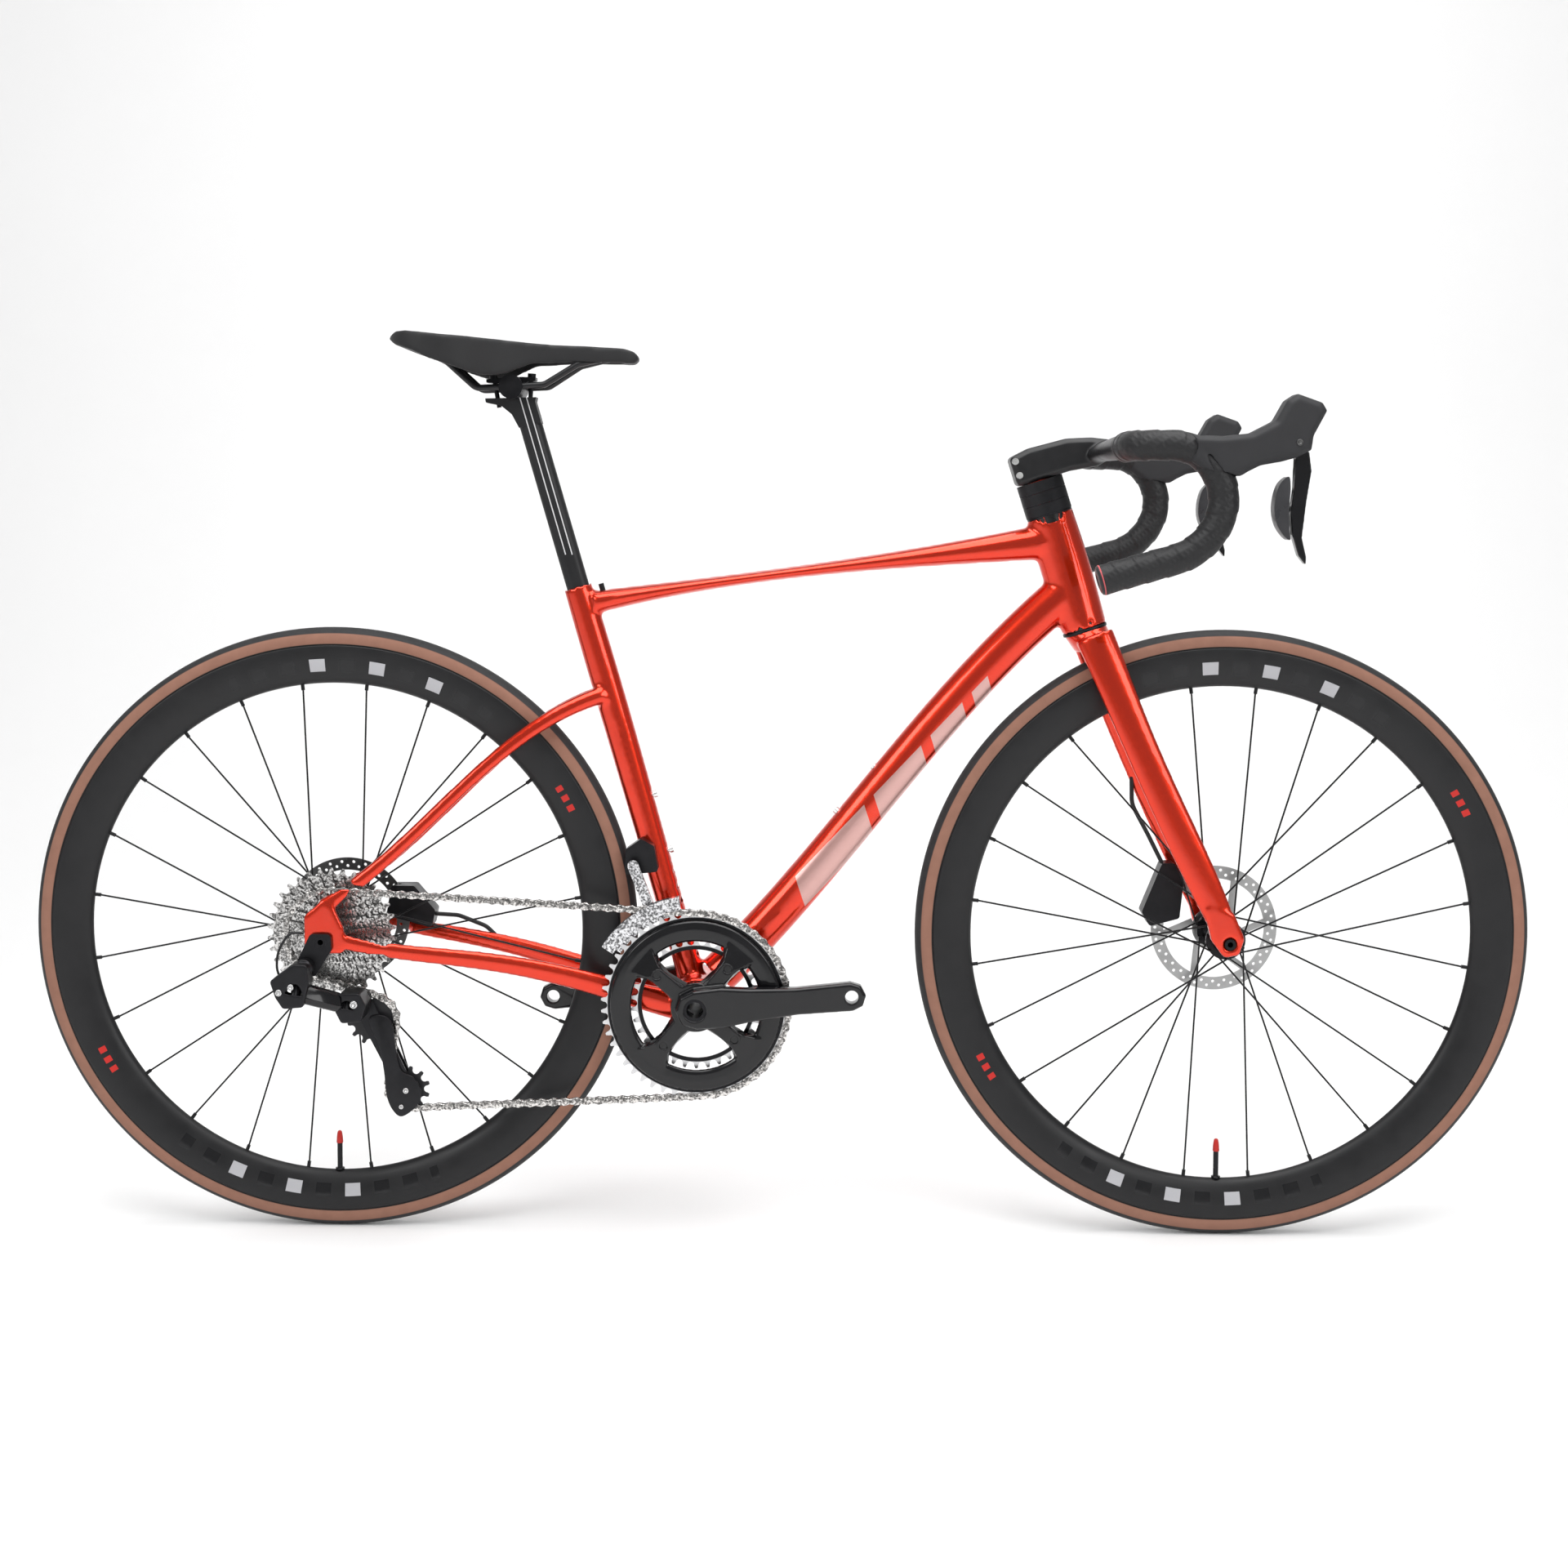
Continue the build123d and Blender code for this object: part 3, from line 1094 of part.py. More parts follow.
def saddle_form(side, inset):
    """The side outline of the saddle within its plan outline, drawn in by an inset."""
    left = [(SADDLE.X + x, y - inset) for x, y in SADDLE_PLAN]
    right = [(x, -y) for x, y in left]
    with BuildPart() as form:
        add(plate([saddle_at(x, z) for x, z in side], -80, 80))
        with BuildSketch(Plane.XY):
            with BuildLine():
                Spline(*left)
                Spline(*right)
                Line(left[0], right[0])
                Line(left[-1], right[-1])
            make_face()
        extrude(amount=2 * SADDLE.Z, mode=Mode.INTERSECT)
    return form.part


with BuildPart() as saddle:
    add(saddle_form(SADDLE_SIDE, 0))
    add(saddle_form(SADDLE_HOLLOW, SADDLE_SKIN), mode=Mode.SUBTRACT)
save(saddle.part, "saddle")

with BuildPart() as saddle_rails:
    for side in (-1, 1):
        add(rail(side))
    add(saddle.part, mode=Mode.SUBTRACT)
save(Compound(children=saddle_rails.part.solids().sort_by(SortBy.VOLUME)[-2:]), "saddle_rails")

with BuildPart() as saddle_clamp:
    add(disc(CLAMP_CENTRE, CLAMP_R, -27, 27))
    for side in (-1, 1):
        add(rail(side), mode=Mode.SUBTRACT)
    add(plate([saddle_at(-37, 5), saddle_at(-24, 4), saddle_at(6, 5), saddle_at(17, 7), saddle_at(17, 10.5),
               saddle_at(2, 11), saddle_at(-20, 10), saddle_at(-37, 8.5)], -8.5, 8.5))
    for top, low in CLAMP_BOLTS:
        add(rod(top, low, 2.5))
        add(rod(top, top + (low - top).normalized() * 4, 4.5))
save(saddle_clamp.part, "saddle_clamp")
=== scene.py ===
"""Road bicycle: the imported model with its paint, rubber, carbon and steel finishes."""
import json
import math

import bmesh
import bpy
import numpy as np
from bpy.props import FloatProperty, FloatVectorProperty, IntProperty, PointerProperty
from mathutils import Matrix, Vector


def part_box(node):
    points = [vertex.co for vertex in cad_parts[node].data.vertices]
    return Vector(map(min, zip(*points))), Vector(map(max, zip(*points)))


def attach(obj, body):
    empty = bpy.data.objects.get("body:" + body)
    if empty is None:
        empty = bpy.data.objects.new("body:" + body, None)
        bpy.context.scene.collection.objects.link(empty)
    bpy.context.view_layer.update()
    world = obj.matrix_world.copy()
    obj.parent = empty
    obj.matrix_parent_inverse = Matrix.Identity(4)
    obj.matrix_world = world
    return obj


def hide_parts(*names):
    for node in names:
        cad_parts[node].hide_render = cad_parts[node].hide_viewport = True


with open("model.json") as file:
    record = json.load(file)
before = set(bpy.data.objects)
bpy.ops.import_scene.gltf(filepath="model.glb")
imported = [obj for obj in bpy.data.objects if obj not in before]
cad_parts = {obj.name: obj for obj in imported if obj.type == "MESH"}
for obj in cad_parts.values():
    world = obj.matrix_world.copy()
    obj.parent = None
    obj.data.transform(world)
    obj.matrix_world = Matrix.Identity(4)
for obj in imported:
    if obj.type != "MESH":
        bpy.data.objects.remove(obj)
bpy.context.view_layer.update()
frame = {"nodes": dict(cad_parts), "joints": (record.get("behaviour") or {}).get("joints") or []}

bl_info = {
    "name": "Road bicycle finisher",
    "version": (1, 0, 0),
    "blender": (4, 5, 0),
    "location": "3D view > Sidebar > Bicycle",
    "description": "Builds the visible pieces and finishes of a road bicycle",
    "category": "Object",
}

JOINTS = {joint["name"]: joint for joint in frame["joints"]}
FRONT_AXLE = Vector(JOINTS["front_wheel_spin"]["pos_m"])
REAR_AXLE = Vector(JOINTS["rear_wheel_spin"]["pos_m"])
CRANK_CENTRE = Vector(JOINTS["crank_spin"]["pos_m"])
STEER_UP = Vector(JOINTS["steering"]["axis"]).normalized()
STEER_FORE = Vector((STEER_UP.z, 0, -STEER_UP.x))
STEER_PLACE = Vector(JOINTS["steering"]["pos_m"])
SEAT_UP = Vector(JOINTS["seatpost_height"]["axis"]).normalized()
SEAT_FORE = Vector((SEAT_UP.z, 0, -SEAT_UP.x))
TYRE_R = FRONT_AXLE.z
RIM_R = (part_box("front_rim")[1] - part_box("front_rim")[0])[0] / 2
RIM_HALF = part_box("front_rim")[1][1]
MM = 0.001


# ---- mesh helpers ----
def link_mesh(name, mesh):
    """A new object at the origin, linked to the scene and shaded smooth."""
    piece = bpy.data.objects.new(name, mesh)
    bpy.context.scene.collection.objects.link(piece)
    for face in mesh.polygons:
        face.use_smooth = True
    return piece


def piece_from(name, verts, faces):
    """An object from plain lists of points and faces, with its normals outward."""
    mesh = bpy.data.meshes.new(name)
    mesh.from_pydata([tuple(v) for v in verts], [], faces)
    work = bmesh.new()
    work.from_mesh(mesh)
    bmesh.ops.remove_doubles(work, verts=work.verts, dist=1e-6)
    bmesh.ops.recalc_face_normals(work, faces=work.faces)
    work.to_mesh(mesh)
    work.free()
    return link_mesh(name, mesh)


def lathe(name, centre, profile, segments=160):
    """A ring turned about the wheel axis from a closed loop of (radius, y) points, in millimetres."""
    verts, faces = [], []
    count = len(profile)
    for i in range(segments):
        a = 2 * math.pi * i / segments
        out = Vector((math.cos(a), 0, math.sin(a)))
        for radius, y in profile:
            verts.append(centre + out * (radius * MM) + Vector((0, y * MM, 0)))
    for i in range(segments):
        for k in range(count):
            a, b = i * count, (i + 1) % segments * count
            n = (k + 1) % count
            faces.append((a + k, a + n, b + n, b + k))
    return piece_from(name, verts, faces)


def skin(name, rings, closed_ends=True):
    """A skin over rings of points that all have the same count."""
    verts = [p for ring in rings for p in ring]
    count = len(rings[0])
    faces = []
    for i in range(len(rings) - 1):
        for k in range(count):
            n = (k + 1) % count
            a, b = i * count, (i + 1) * count
            faces.append((a + k, a + n, b + n, b + k))
    if closed_ends:
        faces.append(tuple(range(count)))
        faces.append(tuple((len(rings) - 1) * count + k for k in range(count)))
    return piece_from(name, verts, faces)


def curve_points(points, steps=12):
    """Points along a smooth line through the given ones."""
    out = []
    last = len(points) - 1
    for i in range(last):
        p0, p1 = points[max(i - 1, 0)], points[i]
        p2, p3 = points[i + 1], points[min(i + 2, last)]
        for s in range(steps):
            t = s / steps
            out.append(0.5 * (2 * p1 + (p2 - p0) * t + (2 * p0 - 5 * p1 + 4 * p2 - p3) * t * t
                              + (3 * p1 - p0 - 3 * p2 + p3) * t ** 3))
    out.append(points[-1].copy())
    return out


def tube_along(name, points, radius, sides=24):
    """A round tube along points; radius is a number or a function of the share of the length."""
    rings = []
    side = None
    last = len(points) - 1
    for i, point in enumerate(points):
        run = (points[min(i + 1, last)] - points[max(i - 1, 0)]).normalized()
        if side is None:
            side = run.orthogonal().normalized()
        side = (side - run * side.dot(run)).normalized()
        other = run.cross(side)
        r = radius(i / last) if callable(radius) else radius
        rings.append([point + (side * math.cos(a) + other * math.sin(a)) * r
                      for a in (2 * math.pi * k / sides for k in range(sides))])
    return skin(name, rings)


def modified(piece, kind, **settings):
    """The piece with one modifier applied to its mesh."""
    modifier = piece.modifiers.new(kind.title(), kind)
    for key, value in settings.items():
        setattr(modifier, key, value)
    done = bpy.data.meshes.new_from_object(
        piece.evaluated_get(bpy.context.evaluated_depsgraph_get()))
    piece.modifiers.clear()
    piece.data = done
    for face in done.polygons:
        face.use_smooth = True
    return piece


def copy_nodes(name, *nodes):
    """One new object that holds the joined meshes of CAD nodes."""
    work = bmesh.new()
    for node in nodes:
        work.from_mesh(frame["nodes"][node].data)
    bmesh.ops.remove_doubles(work, verts=work.verts, dist=1e-6)
    mesh = bpy.data.meshes.new(name)
    work.to_mesh(mesh)
    work.free()
    return link_mesh(name, mesh)


def moulded(name, nodes, voxel, passes):
    """CAD nodes run together with soft fillets, as one moulding."""
    piece = copy_nodes(name, *nodes)
    modified(piece, "REMESH", mode="VOXEL", voxel_size=voxel * MM, adaptivity=0.0)
    modified(piece, "SMOOTH", factor=0.5, iterations=passes)
    return piece


def fit(piece, body, material, replaced=()):
    """Gives a piece its body and its finish, and hides the nodes it stands for."""
    piece.data.materials.clear()
    piece.data.materials.append(material)
    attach(piece, body)
    if replaced:
        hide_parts(*replaced)
    return piece


def dress(nodes, material):
    """Gives CAD nodes that stay in view their finish."""
    for node in nodes:
        slots = frame["nodes"][node].material_slots
        for slot in slots:
            slot.link = "OBJECT"
            slot.material = material


# ---- material helpers ----
class Finish:
    """A node material under construction, with short ways to add its parts."""

    def __init__(self, name, colour, roughness=0.5, metallic=0.0, coat=0.0, coat_roughness=0.03, sheen=0.0,
                 shine=0.5):
        self.material = bpy.data.materials.new(name)
        self.material.use_nodes = True
        self.tree = self.material.node_tree
        self.shader = self.tree.nodes["Principled BSDF"]
        self.set("Base Color", (*colour, 1.0))
        self.set("Roughness", roughness)
        self.set("Metallic", metallic)
        self.set("Coat Weight", coat)
        self.set("Coat Roughness", coat_roughness)
        self.set("Sheen Weight", sheen)
        self.set("Specular IOR Level", shine)
        self.place = self.tree.nodes.new("ShaderNodeTexCoord").outputs["Object"]

    def set(self, socket, value):
        self.shader.inputs[socket].default_value = value

    def join(self, output, socket):
        self.tree.links.new(output, self.shader.inputs[socket])

    def math(self, operation, a, b=0.0, c=0.0):
        node = self.tree.nodes.new("ShaderNodeMath")
        node.operation = operation
        for socket, value in zip(node.inputs, (a, b, c)):
            if isinstance(value, (int, float)):
                socket.default_value = value
            else:
                self.tree.links.new(value, socket)
        return node.outputs[0]

    def axes(self):
        node = self.tree.nodes.new("ShaderNodeSeparateXYZ")
        self.tree.links.new(self.place, node.inputs[0])
        return node.outputs

    def moved(self, scale=(1, 1, 1), location=(0, 0, 0), rotation=(0, 0, 0)):
        node = self.tree.nodes.new("ShaderNodeMapping")
        node.inputs["Scale"].default_value = scale
        node.inputs["Location"].default_value = location
        node.inputs["Rotation"].default_value = rotation
        self.tree.links.new(self.place, node.inputs[0])
        return node.outputs[0]

    def noise(self, scale, detail=4.0, vector=None):
        node = self.tree.nodes.new("ShaderNodeTexNoise")
        node.inputs["Scale"].default_value = scale
        node.inputs["Detail"].default_value = detail
        self.tree.links.new(vector or self.place, node.inputs["Vector"])
        return node.outputs[0]

    def cells(self, scale, feature="F1", vector=None):
        node = self.tree.nodes.new("ShaderNodeTexVoronoi")
        node.feature = feature
        node.inputs["Scale"].default_value = scale
        self.tree.links.new(vector or self.place, node.inputs["Vector"])
        return node.outputs[0]

    def ramp(self, value, low, high, out_low=0.0, out_high=1.0):
        node = self.tree.nodes.new("ShaderNodeMapRange")
        node.inputs["From Min"].default_value = low
        node.inputs["From Max"].default_value = high
        node.inputs["To Min"].default_value = out_low
        node.inputs["To Max"].default_value = out_high
        self.tree.links.new(value, node.inputs["Value"])
        return node.outputs[0]

    def mix(self, share, a, b):
        node = self.tree.nodes.new("ShaderNodeMix")
        node.data_type = "RGBA"
        self.tree.links.new(share, node.inputs["Factor"])
        for socket, value in ((node.inputs[6], a), (node.inputs[7], b)):
            if isinstance(value, tuple):
                socket.default_value = (*value, 1.0)
            else:
                self.tree.links.new(value, socket)
        return node.outputs[2]

    def bump(self, height, strength=0.3, distance=0.0005):
        node = self.tree.nodes.new("ShaderNodeBump")
        node.inputs["Strength"].default_value = strength
        node.inputs["Distance"].default_value = distance
        self.tree.links.new(height, node.inputs["Height"])
        self.join(node.outputs[0], "Normal")

    def wear(self, colour, spread=0.12, scale=40.0):
        """Slight cloudy variation of a colour, and of the roughness with it."""
        cloud = self.noise(scale)
        dark = tuple(max(c * (1 - spread), 0.0) for c in colour)
        light = tuple(min(c * (1 + spread) + 0.002, 1.0) for c in colour)
        self.join(self.mix(cloud, dark, light), "Base Color")
        base = self.shader.inputs["Roughness"].default_value
        self.join(self.ramp(cloud, 0.3, 0.7, max(base - 0.05, 0.02), min(base + 0.06, 1.0)), "Roughness")


# ---- finishes ----
def distance_from(finish, centre):
    """How far a surface point is from a wheel's axis."""
    x, y, z = finish.axes()
    dx = finish.math("SUBTRACT", x, centre.x)
    dz = finish.math("SUBTRACT", z, centre.z)
    return finish.math("SQRT", finish.math("ADD", finish.math("MULTIPLY", dx, dx),
                                           finish.math("MULTIPLY", dz, dz)))


def turn_about(finish, centre):
    """The angle of a surface point about a wheel's axis."""
    x, y, z = finish.axes()
    return finish.math("ARCTAN2", finish.math("SUBTRACT", z, centre.z), finish.math("SUBTRACT", x, centre.x))


def candy_paint(name, settings, graphic=None):
    """Glossy metallic paint under a clear coat; graphic is a share of silver where shapes are laid on."""
    red = tuple(settings.paint_colour)
    paint = Finish(name, red, roughness=0.26, metallic=0.85, coat=0.7, coat_roughness=0.02)
    flake = paint.cells(2600.0)
    deep = tuple(c * 0.6 for c in red)
    body = paint.mix(flake, deep, tuple(min(c * 1.25, 1.0) for c in red))
    if graphic:
        share, rough = graphic(paint)
        body = paint.mix(share, body, tuple(settings.graphic_colour))
        paint.join(rough, "Roughness")
    paint.join(body, "Base Color")
    paint.bump(paint.noise(900.0), 0.02, 0.0002)
    return paint.material


def carbon(name, colour=(0.009, 0.009, 0.010), roughness=0.38, lines=None):
    """Satin black carbon with a faint cloudiness, and thin pale lines where asked."""
    black = Finish(name, colour, roughness=roughness, coat=0.06, coat_roughness=0.2, shine=0.32)
    cloud = black.noise(60.0)
    body = black.mix(cloud, tuple(c * 0.8 for c in colour), tuple(c * 1.5 for c in colour))
    if lines:
        body = black.mix(lines(black), body, (0.55, 0.55, 0.56))
    black.join(body, "Base Color")
    black.join(black.ramp(cloud, 0.3, 0.7, roughness - 0.05, roughness + 0.07), "Roughness")
    black.bump(black.noise(2200.0, 2.0), 0.05, 0.0002)
    return black.material


def anodised(name, colour=(0.014, 0.014, 0.016), roughness=0.36):
    """Black anodised alloy."""
    alloy = Finish(name, colour, roughness=roughness, metallic=0.75)
    alloy.wear(colour, 0.25, 90.0)
    alloy.bump(alloy.noise(1800.0, 3.0), 0.08, 0.0002)
    return alloy.material


def turned_steel(name, centre=None, colour=(0.62, 0.62, 0.63), roughness=0.28):
    """Bright steel with fine turning marks about an axle."""
    steel = Finish(name, colour, roughness=roughness, metallic=1.0)
    steel.wear(colour, 0.08, 120.0)
    if centre is not None:
        reach = distance_from(steel, centre)
        steel.bump(steel.math("SINE", steel.math("MULTIPLY", reach, 9000.0)), 0.08, 0.0001)
    else:
        steel.bump(steel.noise(1500.0, 3.0), 0.06, 0.0001)
    return steel.material


def moulded_plastic(name, colour=(0.02, 0.02, 0.022), roughness=0.5, grain=1400.0, strength=0.2):
    """Moulded plastic or rubber with a fine grain."""
    plastic = Finish(name, colour, roughness=roughness, shine=0.3)
    plastic.wear(colour, 0.15, 55.0)
    plastic.bump(plastic.cells(grain), strength, 0.0002)
    return plastic.material


def gloss_black(name):
    """Deep gloss black under a clear coat."""
    gloss = Finish(name, (0.005, 0.005, 0.006), roughness=0.16, coat=0.25, coat_roughness=0.02, shine=0.3)
    gloss.wear((0.005, 0.005, 0.006), 0.3, 30.0)
    gloss.bump(gloss.noise(500.0, 2.0), 0.015, 0.0002)
    return gloss.material


def tyre_rubber(name, centre, settings):
    """Black tread over a tan woven sidewall with a dark bead line."""
    rubber = Finish(name, (0.02, 0.02, 0.02), roughness=0.72, shine=0.3)
    reach = distance_from(rubber, centre)
    turn = turn_about(rubber, centre)
    weave = rubber.math("SINE", rubber.math("ADD", rubber.math("MULTIPLY", turn, 2400.0),
                                            rubber.math("MULTIPLY", reach, 5200.0)))
    tan = tuple(settings.sidewall_colour)
    wall = rubber.mix(rubber.noise(70.0), tuple(c * 0.82 for c in tan), tuple(min(c * 1.12, 1) for c in tan))
    tread = rubber.mix(rubber.noise(160.0), (0.014, 0.014, 0.015), (0.03, 0.03, 0.031))
    edge = TYRE_R - settings.tread_edge
    share = rubber.ramp(reach, edge - 0.0004, edge + 0.0004)
    body = rubber.mix(share, wall, tread)
    bead = rubber.ramp(reach, RIM_R + 0.0012, RIM_R + 0.0018)
    body = rubber.mix(bead, (0.02, 0.02, 0.02), body)
    rubber.join(body, "Base Color")
    rubber.join(rubber.ramp(share, 0.0, 1.0, 0.82, 0.6), "Roughness")
    rubber.bump(weave, 0.12, 0.0002)
    return rubber.material


def rim_carbon(name, centre):
    """Deep black rim with small bright blocks in pairs and gloss patches round it."""
    rim = Finish(name, (0.009, 0.009, 0.010), roughness=0.4, coat=0.05, coat_roughness=0.2, shine=0.3)
    reach = distance_from(rim, centre)
    turn = turn_about(rim, centre)

    def blocks(count, shift, wide, low, high):
        """A ring of blocks: count of them, each a share wide, between two radii."""
        around = rim.math("FRACT", rim.math("ADD", rim.math("MULTIPLY", turn, count / (2 * math.pi)), shift))
        inside = rim.math("LESS_THAN", rim.math("ABSOLUTE", rim.math("SUBTRACT", around, 0.5)), wide / 2)
        above = rim.math("GREATER_THAN", reach, low)
        below = rim.math("LESS_THAN", reach, high)
        return rim.math("MULTIPLY", inside, rim.math("MULTIPLY", above, below))

    mid = RIM_R - 0.020
    lean = rim.math("ADD", turn, 0.12)
    arcs = rim.math("GREATER_THAN", rim.math("ABSOLUTE", rim.math("SINE", lean)), 0.87)
    near_middle = rim.math("GREATER_THAN", rim.math("ABSOLUTE", rim.math("SINE", lean)), 0.955)
    patches = rim.math("MULTIPLY", arcs, blocks(56, 0.0, 0.52, mid - 0.009, mid + 0.005))
    pair = rim.math("MULTIPLY", near_middle, blocks(28, 0.25, 0.26, mid - 0.009, mid + 0.005))
    aside = rim.math("SINE", rim.math("SUBTRACT", turn, 0.52))
    sides = rim.math("LESS_THAN", rim.math("ABSOLUTE", aside), 0.055)
    dash = rim.math("MULTIPLY", sides, blocks(150, 0.0, 0.55, mid - 0.004, mid + 0.004))
    cloud = rim.noise(45.0)
    body = rim.mix(cloud, (0.007, 0.007, 0.008), (0.014, 0.014, 0.015))
    body = rim.mix(pair, body, (0.42, 0.42, 0.44))
    body = rim.mix(dash, body, (0.5, 0.02, 0.015))
    rim.join(body, "Base Color")
    rough = rim.math("SUBTRACT", rim.ramp(cloud, 0.3, 0.7, 0.36, 0.46), rim.math("MULTIPLY", patches, 0.28))
    rim.join(rough, "Roughness")
    rim.bump(rim.noise(1500.0, 2.0), 0.04, 0.0002)
    return rim.material


def tape_rubber(name):
    """Bar tape embossed with a slanted lozenge pattern."""
    tape = Finish(name, (0.012, 0.012, 0.013), roughness=0.5, shine=0.32)
    diamonds = tape.moved(scale=(1, 1, 1), rotation=(0, 0.6, 0))
    node = tape.tree.nodes.new("ShaderNodeSeparateXYZ")
    tape.tree.links.new(diamonds, node.inputs[0])
    u = tape.math("SINE", tape.math("MULTIPLY", node.outputs[0], 1250.0))
    v = tape.math("SINE", tape.math("MULTIPLY", node.outputs[2], 820.0))
    tape.wear((0.014, 0.014, 0.015), 0.25, 70.0)
    tape.bump(tape.math("MAXIMUM", u, v), 0.35, 0.0005)
    return tape.material


def leather_cover(name):
    """Matte saddle cover with a pebbled grain."""
    cover = Finish(name, (0.015, 0.015, 0.016), roughness=0.55, sheen=0.03, shine=0.3)
    cover.wear((0.014, 0.014, 0.015), 0.18, 35.0)
    cover.bump(cover.cells(1100.0), 0.18, 0.0003)
    return cover.material


def cog_steel(name, colour=(0.55, 0.55, 0.56)):
    """Satin plated steel with a fine bump, and painted glints: bright and dark patches in its colour that
    stand in for reflections.
    """
    steel = Finish(name, colour, roughness=0.26, metallic=1.0)
    # Painted glints: bright and dark patches of colour that stand in for reflections on the steel.
    painted_glint = steel.ramp(steel.noise(420.0, 3.0), 0.4, 0.6)
    dark, light = tuple(c * 0.35 for c in colour), tuple(min(c * 2.1, 1.0) for c in colour)
    steel.join(steel.mix(painted_glint, dark, light), "Base Color")
    steel.join(steel.ramp(painted_glint, 0.0, 1.0, 0.4, 0.18), "Roughness")
    steel.bump(steel.noise(700.0, 3.0), 0.25, 0.0002)
    return steel.material


def ring_alloy(name, centre, tip):
    """A black chainring whose tooth tips are bare metal."""
    alloy = Finish(name, (0.02, 0.02, 0.022), roughness=0.3, metallic=0.9)
    reach = distance_from(alloy, centre)
    bare = alloy.ramp(reach, tip - 0.0075, tip - 0.0068)
    cloud = alloy.noise(120.0)
    dark = alloy.mix(cloud, (0.012, 0.012, 0.013), (0.022, 0.022, 0.024))
    alloy.join(alloy.mix(bare, dark, (0.66, 0.66, 0.67)), "Base Color")
    alloy.join(alloy.ramp(cloud, 0.3, 0.7, 0.24, 0.36), "Roughness")
    alloy.bump(alloy.noise(900.0, 3.0), 0.05, 0.0001)
    return alloy.material


# ---- places ----
STEER_TOP = STEER_PLACE + STEER_UP * (66.5 * MM)
HOOD_Y = 206


def cockpit(up, fore, y=0.0):
    """A point from the head tube's top, up the steering axis and ahead of it, in millimetres."""
    return STEER_TOP + STEER_UP * (up * MM) + STEER_FORE * (fore * MM) + Vector((0, y * MM, 0))


def bent(points, bends, steps=10):
    """A line through corner points with each corner rounded to its bend radius, in millimetres."""
    out = [points[0]]
    for before, corner, after, bend in zip(points, points[1:], points[2:], bends):
        a, b = (before - corner).normalized(), (after - corner).normalized()
        half = a.angle(b) / 2
        back = bend * MM / math.tan(half)
        middle = corner + (a + b).normalized() * (bend * MM / math.sin(half))
        start, end = corner + a * back - middle, corner + b * back - middle
        turn = start.angle(end)
        for s in range(steps + 1):
            t = s / steps
            swept = start * math.sin((1 - t) * turn) + end * math.sin(t * turn)
            out.append(middle + swept / math.sin(turn))
    out.append(points[-1])
    return out


def even(points, step):
    """Points a set distance apart along a line, and the line's length."""
    runs = [(b - a).length for a, b in zip(points, points[1:])]
    total = sum(runs)
    count = max(int(total / step), 2)
    out, i, gone = [], 0, 0.0
    for k in range(count + 1):
        want = total * k / count
        while i < len(runs) - 1 and gone + runs[i] < want:
            gone += runs[i]
            i += 1
        share = min(max((want - gone) / runs[i], 0.0), 1.0) if runs[i] else 0.0
        out.append(points[i].lerp(points[i + 1], share))
    return out, total


def socket_bolt(name, centre, axis, radius, height):
    """A cap bolt with a chamfered head and a hexagonal socket, standing along axis; sizes in millimetres."""
    up = axis.normalized()
    side = up.orthogonal().normalized()
    other = up.cross(side)

    def ring(r, h, sides_six=False):
        out = []
        for k in range(24):
            a = 2 * math.pi * k / 24
            reach = r
            if sides_six:
                reach = r / math.cos((a + math.pi / 6) % (math.pi / 3) - math.pi / 6)
            out.append(centre + (side * math.cos(a) + other * math.sin(a)) * (reach * MM) + up * (h * MM))
        return out

    socket = radius * 0.5
    rings = [ring(radius, -height * 0.3), ring(radius, height * 0.8), ring(radius * 0.86, height),
             ring(socket * 1.12, height, True), ring(socket, height * 0.85, True),
             ring(socket, height * 0.2, True)]
    return skin(name, rings)


def slab(name, centre, outline, y_near, y_far, bevel):
    """A plate with rounded edges from a side-view outline about a centre, in millimetres."""
    rings = [[Vector((centre.x + x * MM, y * MM, centre.z + z * MM)) for x, z in outline]
             for y in (y_near, y_far)]
    plate = skin(name, rings)
    return modified(plate, "BEVEL", width=bevel * MM, segments=3, limit_method="ANGLE")


def rounded(points, steps=6):
    """A closed outline with its corners smoothed by a closed curve through the points."""
    out = []
    count = len(points)
    for i in range(count):
        p0, p1, p2, p3 = (points[(i + k - 1) % count] for k in range(4))
        for s in range(steps):
            t = s / steps
            out.append(tuple(0.5 * (2 * b + (c - a) * t + (2 * a - 5 * b + 4 * c - d) * t * t
                                    + (3 * b - a - 3 * c + d) * t ** 3)
                             for a, b, c, d in zip(p0, p1, p2, p3)))
    return out


def joined(name, pieces):
    """One object made of several pieces."""
    work = bmesh.new()
    for piece in pieces:
        work.from_mesh(piece.data)
    mesh = bpy.data.meshes.new(name)
    work.to_mesh(mesh)
    work.free()
    for piece in pieces:
        bpy.data.objects.remove(piece)
    return link_mesh(name, mesh)


